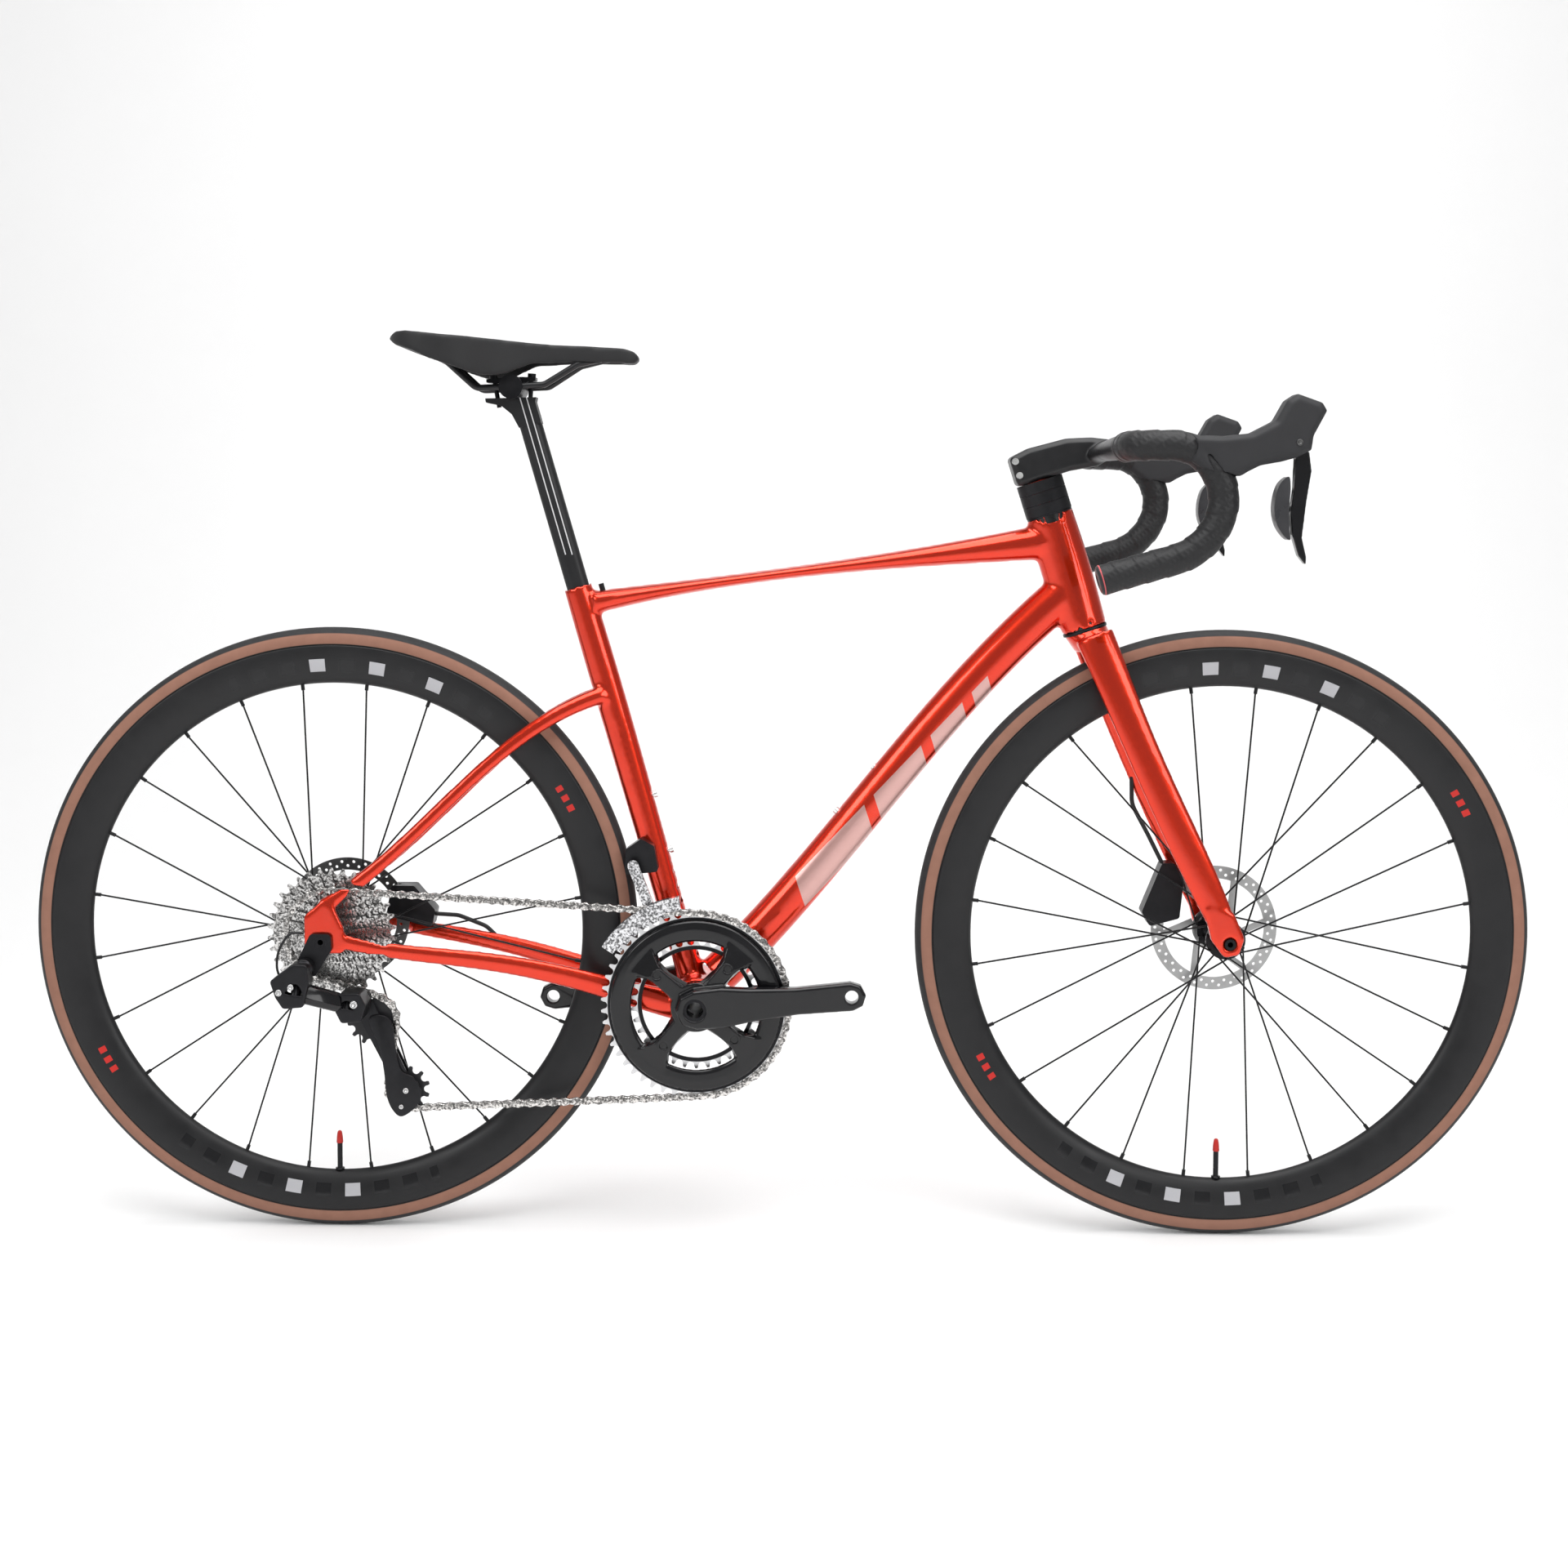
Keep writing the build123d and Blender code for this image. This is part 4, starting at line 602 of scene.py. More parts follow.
# ---- settings ----
class BicycleSettings(bpy.types.PropertyGroup):
    """Sizes and colours that change from one bicycle to the next."""

    paint_colour: FloatVectorProperty(
        name="Paint", description="Colour of the frame and fork", subtype="COLOR",
        min=0, max=1, default=(0.74, 0.030, 0.004))
    graphic_colour: FloatVectorProperty(
        name="Graphic", description="Colour of the slanted bars on the down tube", subtype="COLOR",
        min=0, max=1, default=(0.62, 0.36, 0.33))
    sidewall_colour: FloatVectorProperty(
        name="Sidewall", description="Colour of the tyre sidewalls", subtype="COLOR",
        min=0, max=1, default=(0.27, 0.135, 0.095))
    tread_edge: FloatProperty(
        name="Tread edge", description="How far the black tread reaches in from the tyre's outside",
        default=0.0065, min=0.001, max=0.015, unit="LENGTH")
    wrap_width: FloatProperty(
        name="Wrap width", description="Distance between two edges of the wound bar tape",
        default=0.021, min=0.008, max=0.05, unit="LENGTH")
    fillet_passes: IntProperty(
        name="Fillet passes", description="How softly the frame mouldings run into each other",
        default=8, min=0, max=40)
    light_power: FloatProperty(
        name="Key light", description="Power of the large light over the bicycle in watts",
        default=125.0, min=0.0, max=2000.0)


# ---- frame and fork ----
def slanted_bars(paint):
    """Share of silver for bars of falling length laid along the down tube, and the roughness there."""
    head_foot = STEER_TOP - STEER_UP * (100 * MM)
    run = (head_foot - CRANK_CENTRE).normalized()
    square = Vector((-run.z, 0, run.x))
    x, y, z = paint.axes()

    def measure(direction):
        dx = paint.math("MULTIPLY", paint.math("SUBTRACT", x, CRANK_CENTRE.x), direction.x)
        dz = paint.math("MULTIPLY", paint.math("SUBTRACT", z, CRANK_CENTRE.z), direction.z)
        return paint.math("ADD", dx, dz)

    along, above = measure(run), measure(square)
    leaning = paint.math("SUBTRACT", along, paint.math("MULTIPLY", above, 0.55))
    inside = paint.math("LESS_THAN", paint.math("ABSOLUTE", above), 0.0155)
    side = paint.math("GREATER_THAN", paint.math("ABSOLUTE", y), 0.006)
    band = paint.math("MULTIPLY", inside, side)
    total = None
    for start, end in ((0.165, 0.275), (0.290, 0.365), (0.380, 0.430), (0.445, 0.470)):
        bar = paint.math("MULTIPLY", paint.math("GREATER_THAN", leaning, start),
                         paint.math("LESS_THAN", leaning, end))
        total = bar if total is None else paint.math("ADD", total, bar)
    share = paint.math("MULTIPLY", total, band)
    brushed = paint.noise(300.0, 2.0, paint.moved(scale=(0.15, 1, 3)))
    rough = paint.math("ADD", paint.math("MULTIPLY", share, paint.ramp(brushed, 0.3, 0.7, 0.08, 0.2)), 0.24)
    return share, rough


class BICYCLE_OT_frame(bpy.types.Operator):
    """Build the painted frame as one moulding"""

    bl_idname = "bicycle.frame"
    bl_label = "Frame"

    def execute(self, context):
        settings = context.scene.bicycle
        skin_piece = moulded("frame_moulding", ("front_triangle", "rear_stays"), 2.2, settings.fillet_passes)
        fit(skin_piece, "frame", candy_paint("frame_candy", settings, slanted_bars),
            ("front_triangle", "rear_stays"))
        return {"FINISHED"}


class BICYCLE_OT_fork(bpy.types.Operator):
    """Build the painted fork"""

    bl_idname = "bicycle.fork"
    bl_label = "Fork"

    def execute(self, context):
        settings = context.scene.bicycle
        fork = moulded("fork_moulding", ("fork",), 1.8, settings.fillet_passes)
        fit(fork, "steering", candy_paint("fork_candy", settings), ("fork",))
        return {"FINISHED"}


# ---- wheels ----
def tyre_profile():
    """A tyre's section: round outside, open inside, with a small bead step."""
    section = 13.4
    centre = TYRE_R / MM - section
    out = []
    for k in range(33):
        a = math.radians(-128 + 256 * k / 32)
        out.append((centre + section * math.cos(a), section * math.sin(a)))
    inner = section - 1.9
    for k in range(17):
        a = math.radians(128 - 256 * k / 16)
        out.append((centre + inner * math.cos(a), inner * math.sin(a)))
    return out


def rim_profile():
    """A deep rim's section: a well between two hooked walls over a rounded V."""
    lip = RIM_R / MM
    half = RIM_HALF / MM
    side = [(lip, half - 0.9), (lip - 0.4, half - 0.2), (lip - 1.4, half), (lip - 8, half + 0.0),
            (lip - 18, half - 0.9), (lip - 27, half - 2.9), (lip - 34, half - 5.4),
            (lip - 39, half - 8.4), (lip - 41.6, half - 11.2), (lip - 42.5, 0)]
    well = [(lip - 9, 0), (lip - 8.6, half - 4.2), (lip - 5.5, half - 2.6), (lip - 1.2, half - 2.4),
            (lip, half - 1.8)]
    right = side + [(r, -y) for r, y in reversed(side[:-1])]
    return right + [(r, -y) for r, y in reversed(well[1:])] + well


def valve(name, centre, length):
    """A valve stem with its nut and threads, pointing from the rim's bottom to the axle."""
    foot = centre + Vector((0, 0, -(RIM_R - 40.5 * MM)))
    up = Vector((0, 0, 1))
    steps = [(0.0, 3.4), (1.6, 3.4), (1.7, 5.0), (3.6, 5.0), (3.7, 3.0)]
    thread = [(3.8 + 0.4 * k, 2.75 if k % 2 else 3.0) for k in range(int((length - 16) / 0.4))]
    rings = []
    for h, r in steps + thread:
        rings.append([foot + up * (h * MM) + Vector((math.cos(a), math.sin(a), 0)) * (r * MM)
                      for a in (2 * math.pi * k / 20 for k in range(20))])
    return skin(name + "_stem", rings)


def valve_cap(name, centre, length):
    """A tapered valve cap with a rounded end."""
    foot = centre + Vector((0, 0, -(RIM_R - 40.5 * MM) + (length - 14) * MM))
    rings = []
    for h, r in ((0, 3.5), (0.8, 3.7), (6, 3.4), (10, 2.9), (12.6, 2.4), (13.6, 1.6), (14, 0.6)):
        rings.append([foot + Vector((math.cos(a) * r * MM, math.sin(a) * r * MM, h * MM))
                      for a in (2 * math.pi * k / 20 for k in range(20))])
    return skin(name + "_valve_cap", rings)


class BICYCLE_OT_wheels(bpy.types.Operator):
    """Build tyres, rims and valves, and finish the spokes, hubs and rotors"""

    bl_idname = "bicycle.wheels"
    bl_label = "Wheels"

    def execute(self, context):
        settings = context.scene.bicycle
        cap = moulded_plastic("cap_plastic", (0.45, 0.02, 0.015), 0.35, 900.0, 0.05)
        stem_alloy = anodised("valve_alloy", roughness=0.3)
        for end, centre in (("front", FRONT_AXLE), ("rear", REAR_AXLE)):
            body = end + "_wheel"
            tyre = lathe(end + "_tyre_casing", centre, tyre_profile(), 220)
            fit(tyre, body, tyre_rubber(end + "_rubber", centre, settings), (end + "_tyre",))
            rim = lathe(end + "_rim_shell", centre, rim_profile(), 220)
            fit(rim, body, rim_carbon(end + "_rim_carbon", centre), (end + "_rim",))
            fit(valve(end, centre, 46), body, stem_alloy)
            fit(valve_cap(end, centre, 46), body, cap)
            dress([end + "_spokes"], anodised(end + "_spoke_black", (0.016, 0.016, 0.017), 0.3))
            dress([end + "_hub"], anodised(end + "_hub_black", (0.012, 0.012, 0.014), 0.28))
            dress([end + "_hub_bearings"], turned_steel(end + "_bearing_steel", centre, (0.2, 0.2, 0.2)))
            # The rear rotor is painted much darker than the front one: painted shade on the same steel.
            rotor_grey_with_painted_shade = 0.42 if end == "front" else 0.12
            dress([end + "_rotor"], turned_steel(end + "_rotor_steel", centre, (rotor_grey_with_painted_shade, rotor_grey_with_painted_shade, rotor_grey_with_painted_shade), 0.32))
        return {"FINISHED"}


# ---- cockpit ----
def grip_line(side):
    """The line of the handlebar's drop on one side, as the tape follows it."""
    corners = [cockpit(46, 80, 196 * side), cockpit(27, 140, 206 * side), cockpit(-34, 156, 207 * side),
               cockpit(-75, 110, 208 * side), cockpit(-72, 9, 208 * side)]
    shoulder = cockpit(46, 80, 136 * side)
    return bent([shoulder] + corners, [30, 50, 55, 66])


def wound_tape(name, side, wrap):
    """Tape wound round the drop: each turn rises a little over the one before it."""
    points, length = even(grip_line(side), 0.0011)
    turns = length / wrap
    rings = []
    across = Vector((0, 1, 0))
    last = len(points) - 1
    for i, point in enumerate(points):
        run = (points[min(i + 1, last)] - points[max(i - 1, 0)]).normalized()
        across = (across - run * across.dot(run)).normalized() if i else run.orthogonal().normalized()
        other = run.cross(across)
        ring = []
        for k in range(36):
            a = 2 * math.pi * k / 36
            phase = (i / last * turns + k / 36 * side) % 1.0
            lift = 0.9 * phase if phase < 0.88 else 0.9 * (1 - phase) / 0.12
            ring.append(point + (across * math.cos(a) + other * math.sin(a)) * ((14.9 + lift) * MM))
        rings.append(ring)
    return skin(name, rings)


def end_plug(name, side):
    """A domed bar-end plug with a coloured ring, and the ring as a second piece."""
    line = grip_line(side)
    end, back = line[-1], (line[-1] - line[-2]).normalized()
    across = back.orthogonal().normalized()
    other = back.cross(across)

    def dome(steps):
        return [[end + back * (h * MM) + (across * math.cos(a) + other * math.sin(a)) * (r * MM)
                 for a in (2 * math.pi * k / 32 for k in range(32))] for h, r in steps]

    plug = skin(name, dome([(-6, 10), (-0.5, 10), (-0.5, 14.2), (1.2, 15), (2.6, 14.6), (3.8, 12.6),
                            (4.4, 9.5), (4.4, 6.4), (3.7, 6.0), (3.6, 1.0)]))
    ring = skin(name + "_ring", dome([(-0.6, 14), (-0.4, 15.35), (0.5, 15.6), (1.1, 15.35), (1.2, 14)]))
    return plug, ring


def collar(name, low, high, fore, half):
    """An oval ring round the steerer between two heights, as a headset cover."""
    def ring(up, share):
        return [cockpit(up, 0.5 + fore * share * math.cos(a), half * share * math.sin(a))
                for a in (2 * math.pi * k / 48 for k in range(48))]

    return skin(name, [ring(low, 0.97), ring(low + 0.3, 1.0), ring(high - 0.3, 1.0), ring(high, 0.97)])


def paddle(name, side):
    """A shift paddle that fills the hollow behind the lever blade."""
    outline = [(-29, 213), (-40, 211.5), (-52, 207), (-66, 202.2), (-80, 198.5), (-89, 196.5), (-84, 192),
               (-72, 188.5), (-58, 189.5), (-44, 195), (-33, 203)]
    rings = [[cockpit(up, fore, HOOD_Y * side + y) for up, fore in rounded(outline)] for y in (-9, 9)]
    return modified(skin(name, rings), "BEVEL", width=1.6 * MM, segments=3, limit_method="ANGLE")


class BICYCLE_OT_cockpit(bpy.types.Operator):
    """Build the bar, its tape, the hoods, the levers and the paddles"""

    bl_idname = "bicycle.cockpit"
    bl_label = "Bar, tape, hoods and levers"

    def execute(self, context):
        settings = context.scene.bicycle
        bar = moulded("bar_moulding", ("handlebar",), 1.6, 5)
        fit(bar, "steering", carbon("bar_carbon"), ("handlebar",))
        tape = joined("wound_tape", [wound_tape("tape_right", -1, settings.wrap_width),
                                     wound_tape("tape_left", 1, settings.wrap_width)])
        fit(tape, "steering", tape_rubber("tape_foam"), ("bar_tape",))
        plugs, rings = zip(*(end_plug("end_plug", side) for side in (-1, 1)))
        fit(joined("end_plugs", plugs), "steering",
            moulded_plastic("plug_plastic", roughness=0.35), ("bar_end_plugs",))
        fit(joined("plug_rings", rings), "steering",
            moulded_plastic("ring_plastic", (0.55, 0.10, 0.11), 0.35))
        rubber = moulded_plastic("hood_rubber", (0.022, 0.022, 0.024), 0.58, 1700.0, 0.3)
        gloss = gloss_black("lever_black")
        grey = moulded_plastic("paddle_grey", (0.035, 0.035, 0.038), 0.3, 900.0, 0.05)
        screw_steel = turned_steel("screw_steel", None, (0.12, 0.12, 0.12), 0.3)
        for side, sign in (("right", -1), ("left", 1)):
            fit(moulded(side + "_hood_cover", ("hood_" + side,), 1.2, 10), "steering",
                rubber, ("hood_" + side,))
            fit(moulded(side + "_lever_blade", ("brake_lever_" + side,), 0.8, 7), "brake_lever_" + side,
                gloss, ("brake_lever_" + side,))
            fit(paddle(side + "_paddle_blade", sign), "shift_paddle_" + side, grey,
                ("shift_paddle_" + side,))
            pivot = cockpit(0.4, 231, HOOD_Y * sign + 17.2 * sign)
            screw = socket_bolt("screw", pivot, Vector((0, sign, 0)), 3.2, 0.9)
            fit(joined(side + "_pivot_screw", [screw]), "steering", screw_steel)
        dress(["headset_spacers"], anodised("spacer_black", (0.02, 0.02, 0.022), 0.42))
        collars = [collar("top_collar", -1.8, 0.9, 25.0, 20.8),
                   collar("crown_collar", -134.5, -131.0, 24.5, 22.5)]
        fit(joined("headset_collars", collars), "steering", anodised("collar_black"))
        return {"FINISHED"}


# ---- saddle and post ----
def post_lines(post):
    """Share of pale paint for two thin lines down the post's sides."""
    x, y, z = post.axes()
    dx = post.math("MULTIPLY", post.math("SUBTRACT", x, CRANK_CENTRE.x), SEAT_FORE.x)
    dz = post.math("MULTIPLY", post.math("SUBTRACT", z, CRANK_CENTRE.z), SEAT_FORE.z)
    fore = post.math("ADD", dx, dz)
    total = None
    for place in (-0.0035, 0.0035):
        away = post.math("ABSOLUTE", post.math("SUBTRACT", fore, place))
        line = post.math("LESS_THAN", away, 0.0006)
        total = line if total is None else post.math("ADD", total, line)
    low = post.math("GREATER_THAN", z, CRANK_CENTRE.z + 0.49)
    return post.math("MULTIPLY", total, low)


class BICYCLE_OT_saddle(bpy.types.Operator):
    """Build the padded saddle and finish its rails, clamp and post"""

    bl_idname = "bicycle.saddle"
    bl_label = "Saddle and post"

    def execute(self, context):
        cover = moulded("saddle_pad", ("saddle",), 2.0, 12)
        fit(cover, "saddle", leather_cover("saddle_leather"), ("saddle",))
        dress(["seatpost"], carbon("post_carbon", roughness=0.45, lines=post_lines))
        dress(["saddle_rails"], carbon("rail_carbon", roughness=0.3))
        dress(["saddle_clamp"], anodised("clamp_black"))
        dress(["seat_clamp"], anodised("wedge_black"))
        return {"FINISHED"}


# ---- drive ----
def crank_star(name):
    """The glossy cover over the big ring: a broad band carried on four flared arms."""
    section = [(93.4, -48.6), (94, -50), (92, -52.6), (84, -53.6), (74, -52.8), (70.5, -50.4), (71, -48.6)]
    band = lathe(name + "_band", CRANK_CENTRE, section, 120)
    pieces = [band]
    for k in range(4):
        a = math.radians(5.4 + 45 + 90 * k)
        out, side = Vector((math.cos(a), 0, math.sin(a))), Vector((-math.sin(a), 0, math.cos(a)))
        rings = []
        for reach, half, y_out in ((8, 17, -58.8), (30, 12.5, -58.8), (46, 10.5, -58.4), (60, 12.5, -57.9),
                                   (72, 20, -54.6), (80, 27, -53.2)):
            centre = CRANK_CENTRE + out * (reach * MM)
            corners = ((-half, -49.0), (-half * 0.72, y_out), (half * 0.72, y_out), (half, -49.0))
            rings.append([centre + side * (w * MM) + Vector((0, y * MM, 0)) for w, y in corners])
        pieces.append(skin(name + "_arm", rings))
    star = joined(name, pieces)
    modified(star, "REMESH", mode="VOXEL", voxel_size=1.0 * MM, adaptivity=0.0)
    return modified(star, "SMOOTH", factor=0.5, iterations=6)


def plate_outline(steps=9):
    """Side outline of one link plate: two round ends and a waist, in millimetres."""
    half_pitch, end, waist = 6.35, 4.15, 2.75
    top = []
    for k in range(steps):
        a = math.pi - math.pi * 0.62 * k / (steps - 1)
        top.append((-half_pitch + end * math.cos(a), end * math.sin(a)))
    top.append((0, waist))
    top += [(-x, z) for x, z in reversed(top[:-1])]
    return top + [(x, -z) for x, z in reversed(top[1:-1])]


def link_shape(inner, outer, pin, wide):
    """Points and faces of one chain link along X: two bevelled plates and two pins."""
    verts, faces = [], []

    def add_rings(rings):
        base, count = len(verts), len(rings[0])
        for ring in rings:
            verts.extend(ring)
        for i in range(len(rings) - 1):
            for k in range(count):
                n = (k + 1) % count
                a, b = base + i * count, base + (i + 1) * count
                faces.append((a + k, a + n, b + n, b + k))
        faces.append(tuple(base + k for k in range(count)))
        faces.append(tuple(base + (len(rings) - 1) * count + k for k in range(count)))

    outline = plate_outline()
    for side in (-1, 1):
        add_rings([[Vector((x * s, side * y, z * s * s)) for x, z in outline]
                   for y, s in ((inner, 0.985), (inner + 0.15, 1.0), (outer - 0.25, 1.0), (outer, 0.955))])
    for x in (-6.35, 6.35):
        circle = [(math.cos(2 * math.pi * k / 12), math.sin(2 * math.pi * k / 12)) for k in range(12)]
        add_rings([[Vector((x + c * r, y, z * r)) for c, z in circle]
                   for y, r in ((-wide, pin * 0.8), (-wide + 0.2, pin),
                                (wide - 0.2, pin), (wide, pin * 0.8))])
    return verts, faces


def chain_links(name):
    """Every link of the chain, shaped and set where the part's own links lie."""
    work = bmesh.new()
    work.from_mesh(frame["nodes"]["chain"].data)
    bmesh.ops.remove_doubles(work, verts=work.verts, dist=1e-6)
    seen, places = set(), []
    for start in work.verts:
        if start in seen:
            continue
        stack, island = [start], []
        seen.add(start)
        while stack:
            vert = stack.pop()
            island.append(vert.co.copy())
            for edge in vert.link_edges:
                other = edge.other_vert(vert)
                if other not in seen:
                    seen.add(other)
                    stack.append(other)
        places.append(np.array(island))
    work.free()
    verts, faces = [], []
    shapes = (link_shape(1.1, 1.95, 3.8, 1.3), link_shape(2.02, 2.72, 1.75, 3.0))
    for cloud in places:
        centre = (cloud.max(0) + cloud.min(0)) / 2
        spread = np.linalg.eigh(np.cov((cloud - centre).T))[1][:, 2]
        run = Vector(spread)
        across = (Vector((0, 1, 0)) - run * run.y).normalized()
        rise = run.cross(across)
        width = np.ptp((cloud - centre) @ np.array(across))
        points, polys = shapes[1 if width > 0.0046 else 0]
        base = len(verts)
        verts += [Vector(centre) + (run * p.x + across * p.y + rise * p.z) * MM for p in points]
        faces += [tuple(base + k for k in poly) for poly in polys]
    chain = piece_from(name, verts, faces)
    return modified(chain, "EDGE_SPLIT", split_angle=math.radians(40))


def rear_place(x, z, y=0.0):
    """A point from the rear axle, in millimetres."""
    return REAR_AXLE + Vector((x * MM, y * MM, z * MM))


def link_cover(name):
    """The faceted motor cover on the outer link."""
    start = Vector(JOINTS["rd_swing"]["pos_m"])
    span = Vector(JOINTS["rd_knuckle_swing"]["pos_m"]) - start
    up = Vector(JOINTS["rd_swing"]["axis"]).normalized()
    run = span.normalized()
    out = up.cross(run)
    if out.y > 0:
        out = -out
    rings = []
    for share, tall, thick in ((0.08, 7.5, 2.5), (0.18, 11.0, 5.5), (0.78, 10.6, 6.0), (0.9, 7.0, 3.0)):
        at = start + span * share
        section = ((-tall, 1.5), (-tall, -thick * 0.5), (-tall * 0.55, -thick - 1.2), (tall * 0.6, -thick),
                   (tall, -thick * 0.4), (tall, 1.5))
        rings.append([at + up * (h * MM) - out * (d * MM) for h, d in section])
    return modified(skin(name, rings), "BEVEL", width=0.8 * MM, segments=2, limit_method="ANGLE")


class BICYCLE_OT_drive(bpy.types.Operator):
    """Build the crank arms and finish the rings, chain, cassette and derailleurs"""

    bl_idname = "bicycle.drive"
    bl_label = "Drive"

    def execute(self, context):
        gloss = gloss_black("crank_black")
        for side in ("right", "left"):
            arm = moulded("crank_" + side + "_forging", ("crank_arm_" + side,), 1.1, 4)
            fit(arm, "crankset", gloss, ("crank_arm_" + side,))
        dress(["crank_spindle"], anodised("spindle_black"))
        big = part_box("big_chainring")
        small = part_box("small_chainring")
        dress(["big_chainring"], ring_alloy("big_ring_alloy", CRANK_CENTRE, (big[1] - big[0]).x / 2))
        dress(["small_chainring"], ring_alloy("small_ring_alloy", CRANK_CENTRE, (small[1] - small[0]).x / 2))
        dress(["chainring_bolts"], turned_steel("ring_bolt_steel", None, (0.2, 0.2, 0.2)))
        fit(crank_star("ring_cover"), "crankset", gloss)
        fit(chain_links("chain_links"), "frame", cog_steel("chain_steel", (0.36, 0.35, 0.34)),
            ("chain",))
        dress(["cassette"], cog_steel("cassette_steel", (0.34, 0.335, 0.33)))
        dress(["freehub"], anodised("freehub_black"))
        body = anodised("derailleur_black", (0.018, 0.018, 0.02), 0.34)
        plastic = moulded_plastic("derailleur_plastic", (0.018, 0.018, 0.02), 0.4, 900.0, 0.1)
        dress(["rd_outer_link", "rd_inner_link", "rd_cage", "front_derailleur_body"], body)
        for node, rider in (("rear_derailleur_base", "frame"), ("rd_lower_knuckle", "rd_lower_knuckle")):
            fit(moulded(node + "_casting", (node,), 0.9, 8), rider, body, (node,))
        dress(["guide_pulley", "tension_pulley"], plastic)
        dress(["fd_cage"], cog_steel("cage_steel", (0.42, 0.42, 0.43)))
        dress(["derailleur_hanger"], anodised("hanger_black"))
        fit(link_cover("motor_cover"), "rd_outer_link", gloss_black("motor_black"))
        arm = slab("cage_arm", REAR_AXLE,
                   rounded([(44, -92), (60, -88), (70, -98), (73, -122), (79, -148), (93, -157), (101, -172),
                            (96, -188), (80, -200), (70, -194), (63, -178), (60, -150), (55, -122)]),
                   -47.4, -44.9, 0.9)
        fit(arm, "rd_cage", body)
        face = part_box("rear_derailleur_base")[0].y / MM
        spots = {"frame": [(-40, -50, face, 3.6), (-27, -44, face, 3.4)],
                 "rd_lower_knuckle": [(34, -69, -77, 4.2)],
                 "rd_cage": [(84.2, -171, -47.4, 3.2), (79, -189, -47.4, 2.6)]}
        bright = turned_steel("derailleur_bolts", None, (0.6, 0.6, 0.6), 0.25)
        for rider, bolts in spots.items():
            heads = [socket_bolt("head", rear_place(x, z, y), Vector((0, -1, 0)), r, 1.6)
                     for x, z, y, r in bolts]
            fit(joined(rider + "_bolt_heads", heads), rider, bright)
        wire = curve_points([rear_place(-20, 8, -74), rear_place(-34, 8, -80), rear_place(-44, -8, -86),
                             rear_place(-46, -26, -88), rear_place(-42, -40, -88)], 8)
        fit(tube_along("derailleur_wire", wire, 1.3 * MM, 12), "frame",
            moulded_plastic("wire_black", (0.012, 0.012, 0.013), 0.4, 600.0, 0.05))
        return {"FINISHED"}


class BICYCLE_OT_brakes(bpy.types.Operator):
    """Finish the brake calipers and hoses"""

    bl_idname = "bicycle.brakes"
    bl_label = "Brakes"

    def execute(self, context):
        dress(["front_brake_caliper", "rear_brake_caliper"], anodised("caliper_black", (0.016, 0.016, 0.018)))
        dress(["front_brake_hose", "rear_brake_hose"],
              moulded_plastic("hose_black", (0.014, 0.014, 0.015), 0.38, 600.0, 0.05))
        return {"FINISHED"}


class BICYCLE_OT_fasteners(bpy.types.Operator):
    """Finish the bolts, axles and bearings"""

    bl_idname = "bicycle.fasteners"
    bl_label = "Fasteners"

    def execute(self, context):
        dress(["bottle_bolts", "stem_bolts"], turned_steel("bolt_steel", None, (0.92, 0.92, 0.91), 0.3))
        dress(["front_thru_axle", "rear_thru_axle"], anodised("axle_black"))
        dress(["bottom_bracket_cups"], anodised("cup_black"))
        dress(["bottom_bracket_bearings", "headset_bearings"],
              turned_steel("bearing_steel", None, (0.05, 0.05, 0.05)))
        return {"FINISHED"}


# ---- stage ----
def area_light(name, place, target, size, power, colour=(1, 1, 1)):
    """A square soft light aimed at a point."""
    light = bpy.data.lights.new(name, "AREA")
    light.shape = "SQUARE"
    light.size = size
    light.energy = power
    light.color = colour
    lamp = bpy.data.objects.new(name, light)
    bpy.context.scene.collection.objects.link(lamp)
    lamp.location = place
    lamp.rotation_euler = (Vector(target) - Vector(place)).to_track_quat("-Z", "Y").to_euler()
    return lamp


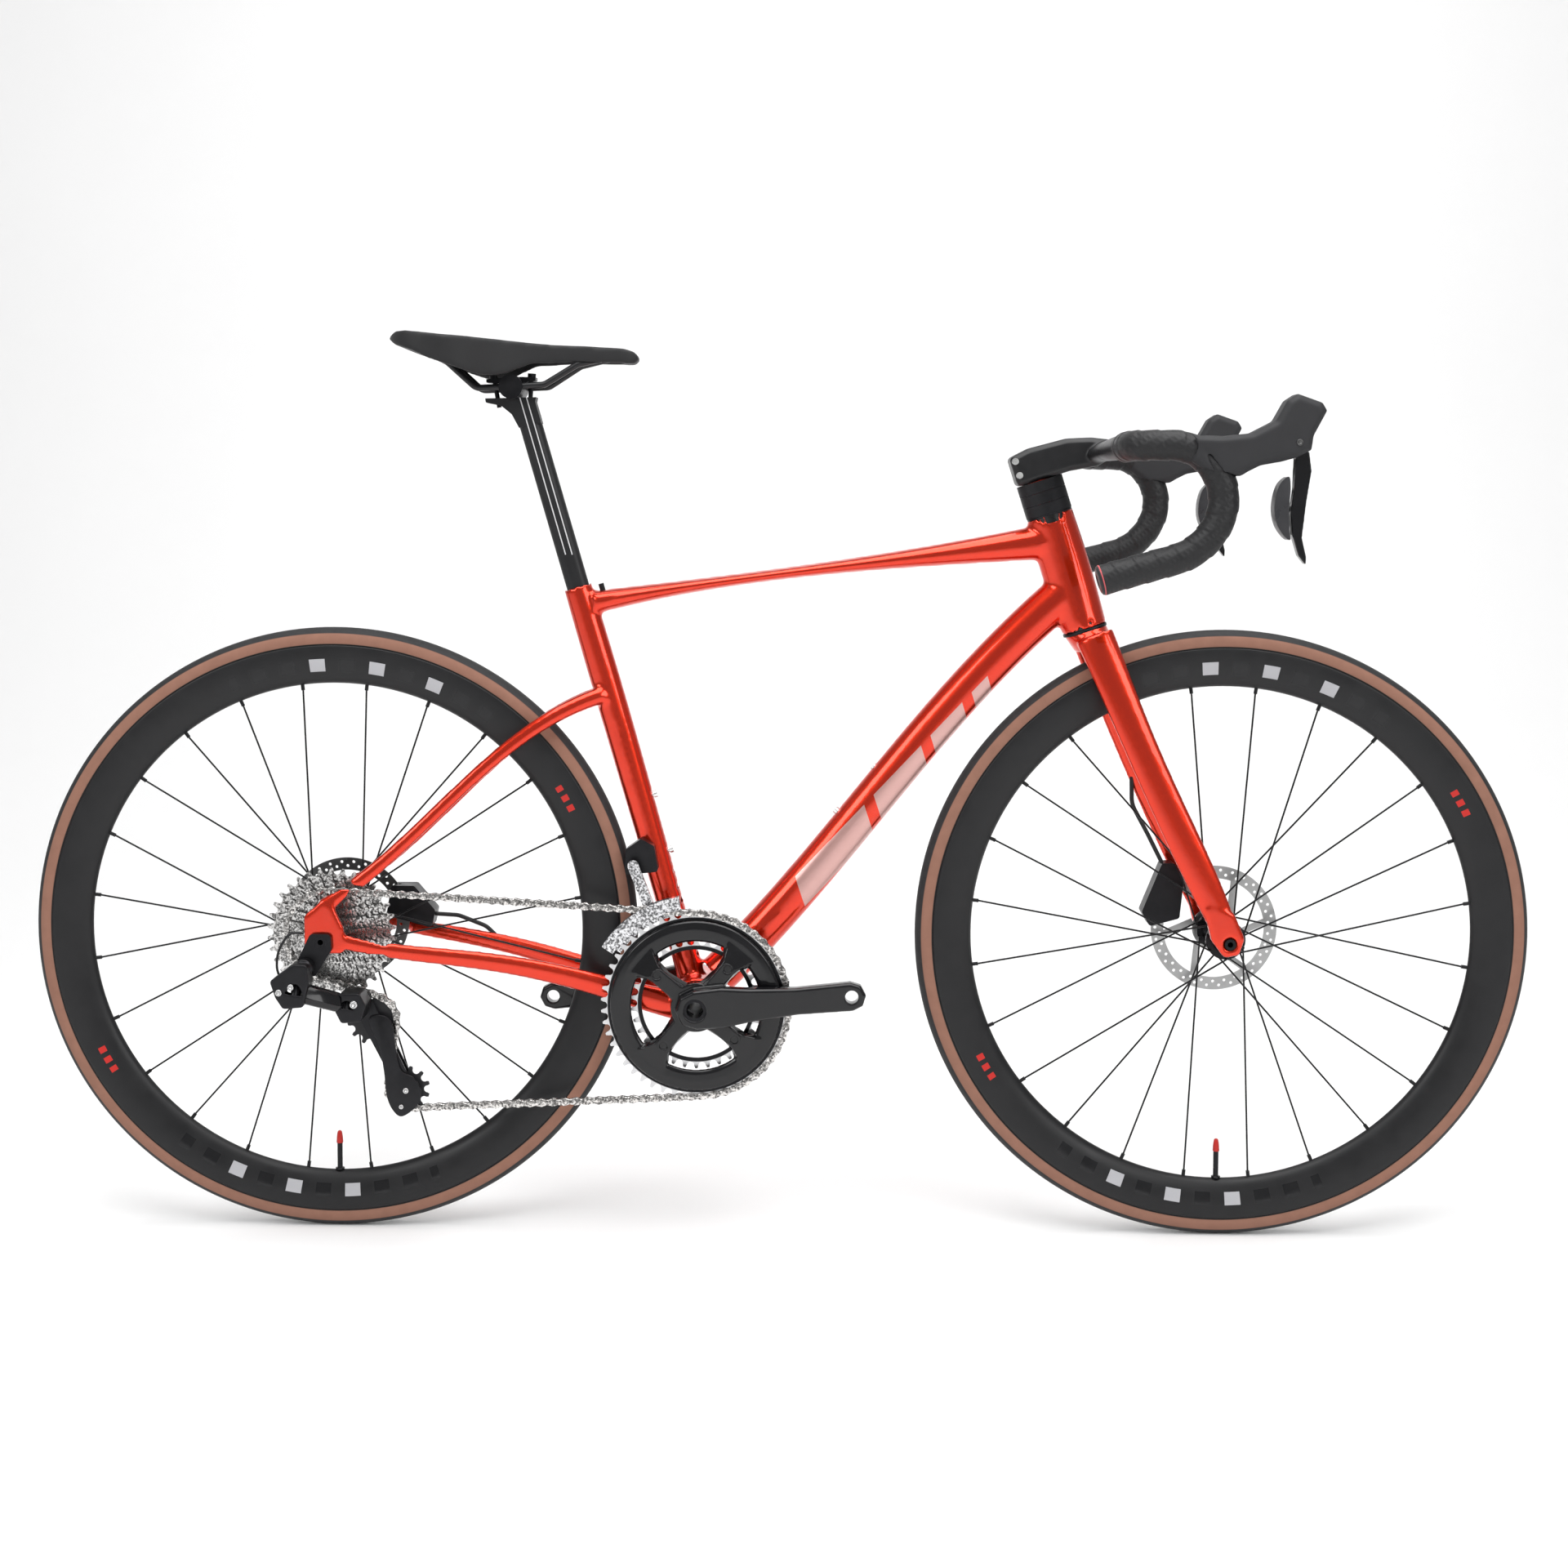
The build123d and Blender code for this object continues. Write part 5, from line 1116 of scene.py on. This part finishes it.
class BICYCLE_OT_stage(bpy.types.Operator):
    """Set the pale floor and backdrop, the soft lights and the camera"""

    bl_idname = "bicycle.stage"
    bl_label = "Stage"

    def execute(self, context):
        settings = context.scene.bicycle
        sweep = [(-6.0, 0.0), (1.2, 0.0)]
        sweep += [(1.2 + 1.5 * math.sin(math.radians(a)), 1.5 - 1.5 * math.cos(math.radians(a)))
                  for a in range(6, 91, 6)]
        sweep.append((2.7, 6.0))
        verts, faces = [], []
        for y, z in sweep:
            verts += [Vector((-8, y, z)), Vector((8, y, z))]
        for i in range(len(sweep) - 1):
            faces.append((2 * i, 2 * i + 1, 2 * i + 3, 2 * i + 2))
        floor = piece_from("studio_floor", verts, faces)
        paper = Finish("studio_paper", (0.9, 0.9, 0.9), roughness=0.6)
        paper.join(paper.mix(paper.noise(3.0), (0.885, 0.885, 0.885), (0.9, 0.9, 0.9)), "Base Color")
        floor.data.materials.append(paper.material)
        power = settings.light_power
        lights = [area_light("key_light", (0.2, -0.6, 3.2), (0, 0.2, 0), 3.2, power),
                  area_light("side_light", (-2.6, -2.4, 2.2), (0, 0, 0.5), 1.6, power * 0.3),
                  area_light("front_light", (2.4, -2.6, 1.9), (0, 0, 0.5), 1.6, power * 0.25)]
        world = bpy.data.worlds.new("studio_world")
        world.use_nodes = True
        world.node_tree.nodes["Background"].inputs["Color"].default_value = (1, 1, 1, 1)
        world.node_tree.nodes["Background"].inputs["Strength"].default_value = 0.34
        context.scene.world = world
        context.scene.view_settings.view_transform = "Standard"
        lens = bpy.data.cameras.new("main_camera")
        lens.sensor_width = 36.0
        lens.lens = 48.41
        lens.shift_x = 0.0176
        lens.shift_y = -0.0824
        camera = bpy.data.objects.new("main_camera", lens)
        context.scene.collection.objects.link(camera)
        turn, pitch, roll = -0.02613, -0.06530, 0.00181
        ahead = Vector((math.sin(turn) * math.cos(pitch), math.cos(turn) * math.cos(pitch), math.sin(pitch)))
        aim = ahead.to_track_quat("-Z", "Y").to_matrix().to_4x4()
        place = Matrix.Translation((0.0381, -2.3149, 0.7941))
        camera.matrix_world = place @ aim @ Matrix.Rotation(roll, 4, "Z")
        context.scene.camera = camera
        return {"FINISHED"}


STEPS = (BICYCLE_OT_frame, BICYCLE_OT_fork, BICYCLE_OT_wheels, BICYCLE_OT_cockpit, BICYCLE_OT_saddle,
         BICYCLE_OT_drive, BICYCLE_OT_brakes, BICYCLE_OT_fasteners, BICYCLE_OT_stage)


class BICYCLE_PT_panel(bpy.types.Panel):
    """Lists the settings and the steps that build the bicycle"""

    bl_label = "Bicycle"
    bl_idname = "BICYCLE_PT_panel"
    bl_space_type = "VIEW_3D"
    bl_region_type = "UI"
    bl_category = "Bicycle"

    def draw(self, context):
        settings = context.scene.bicycle
        for prop in BicycleSettings.__annotations__:
            self.layout.prop(settings, prop)
        for step in STEPS:
            self.layout.operator(step.bl_idname)


CLASSES = (BicycleSettings, *STEPS, BICYCLE_PT_panel)


def register():
    for cls in CLASSES:
        bpy.utils.register_class(cls)
    bpy.types.Scene.bicycle = PointerProperty(type=BicycleSettings)


def unregister():
    del bpy.types.Scene.bicycle
    for cls in reversed(CLASSES):
        bpy.utils.unregister_class(cls)


def main():
    """Builds everything in order."""
    register()
    for step in STEPS:
        group, action = step.bl_idname.split(".")
        getattr(getattr(bpy.ops, group), action)()


if __name__ == "__main__":
    main()
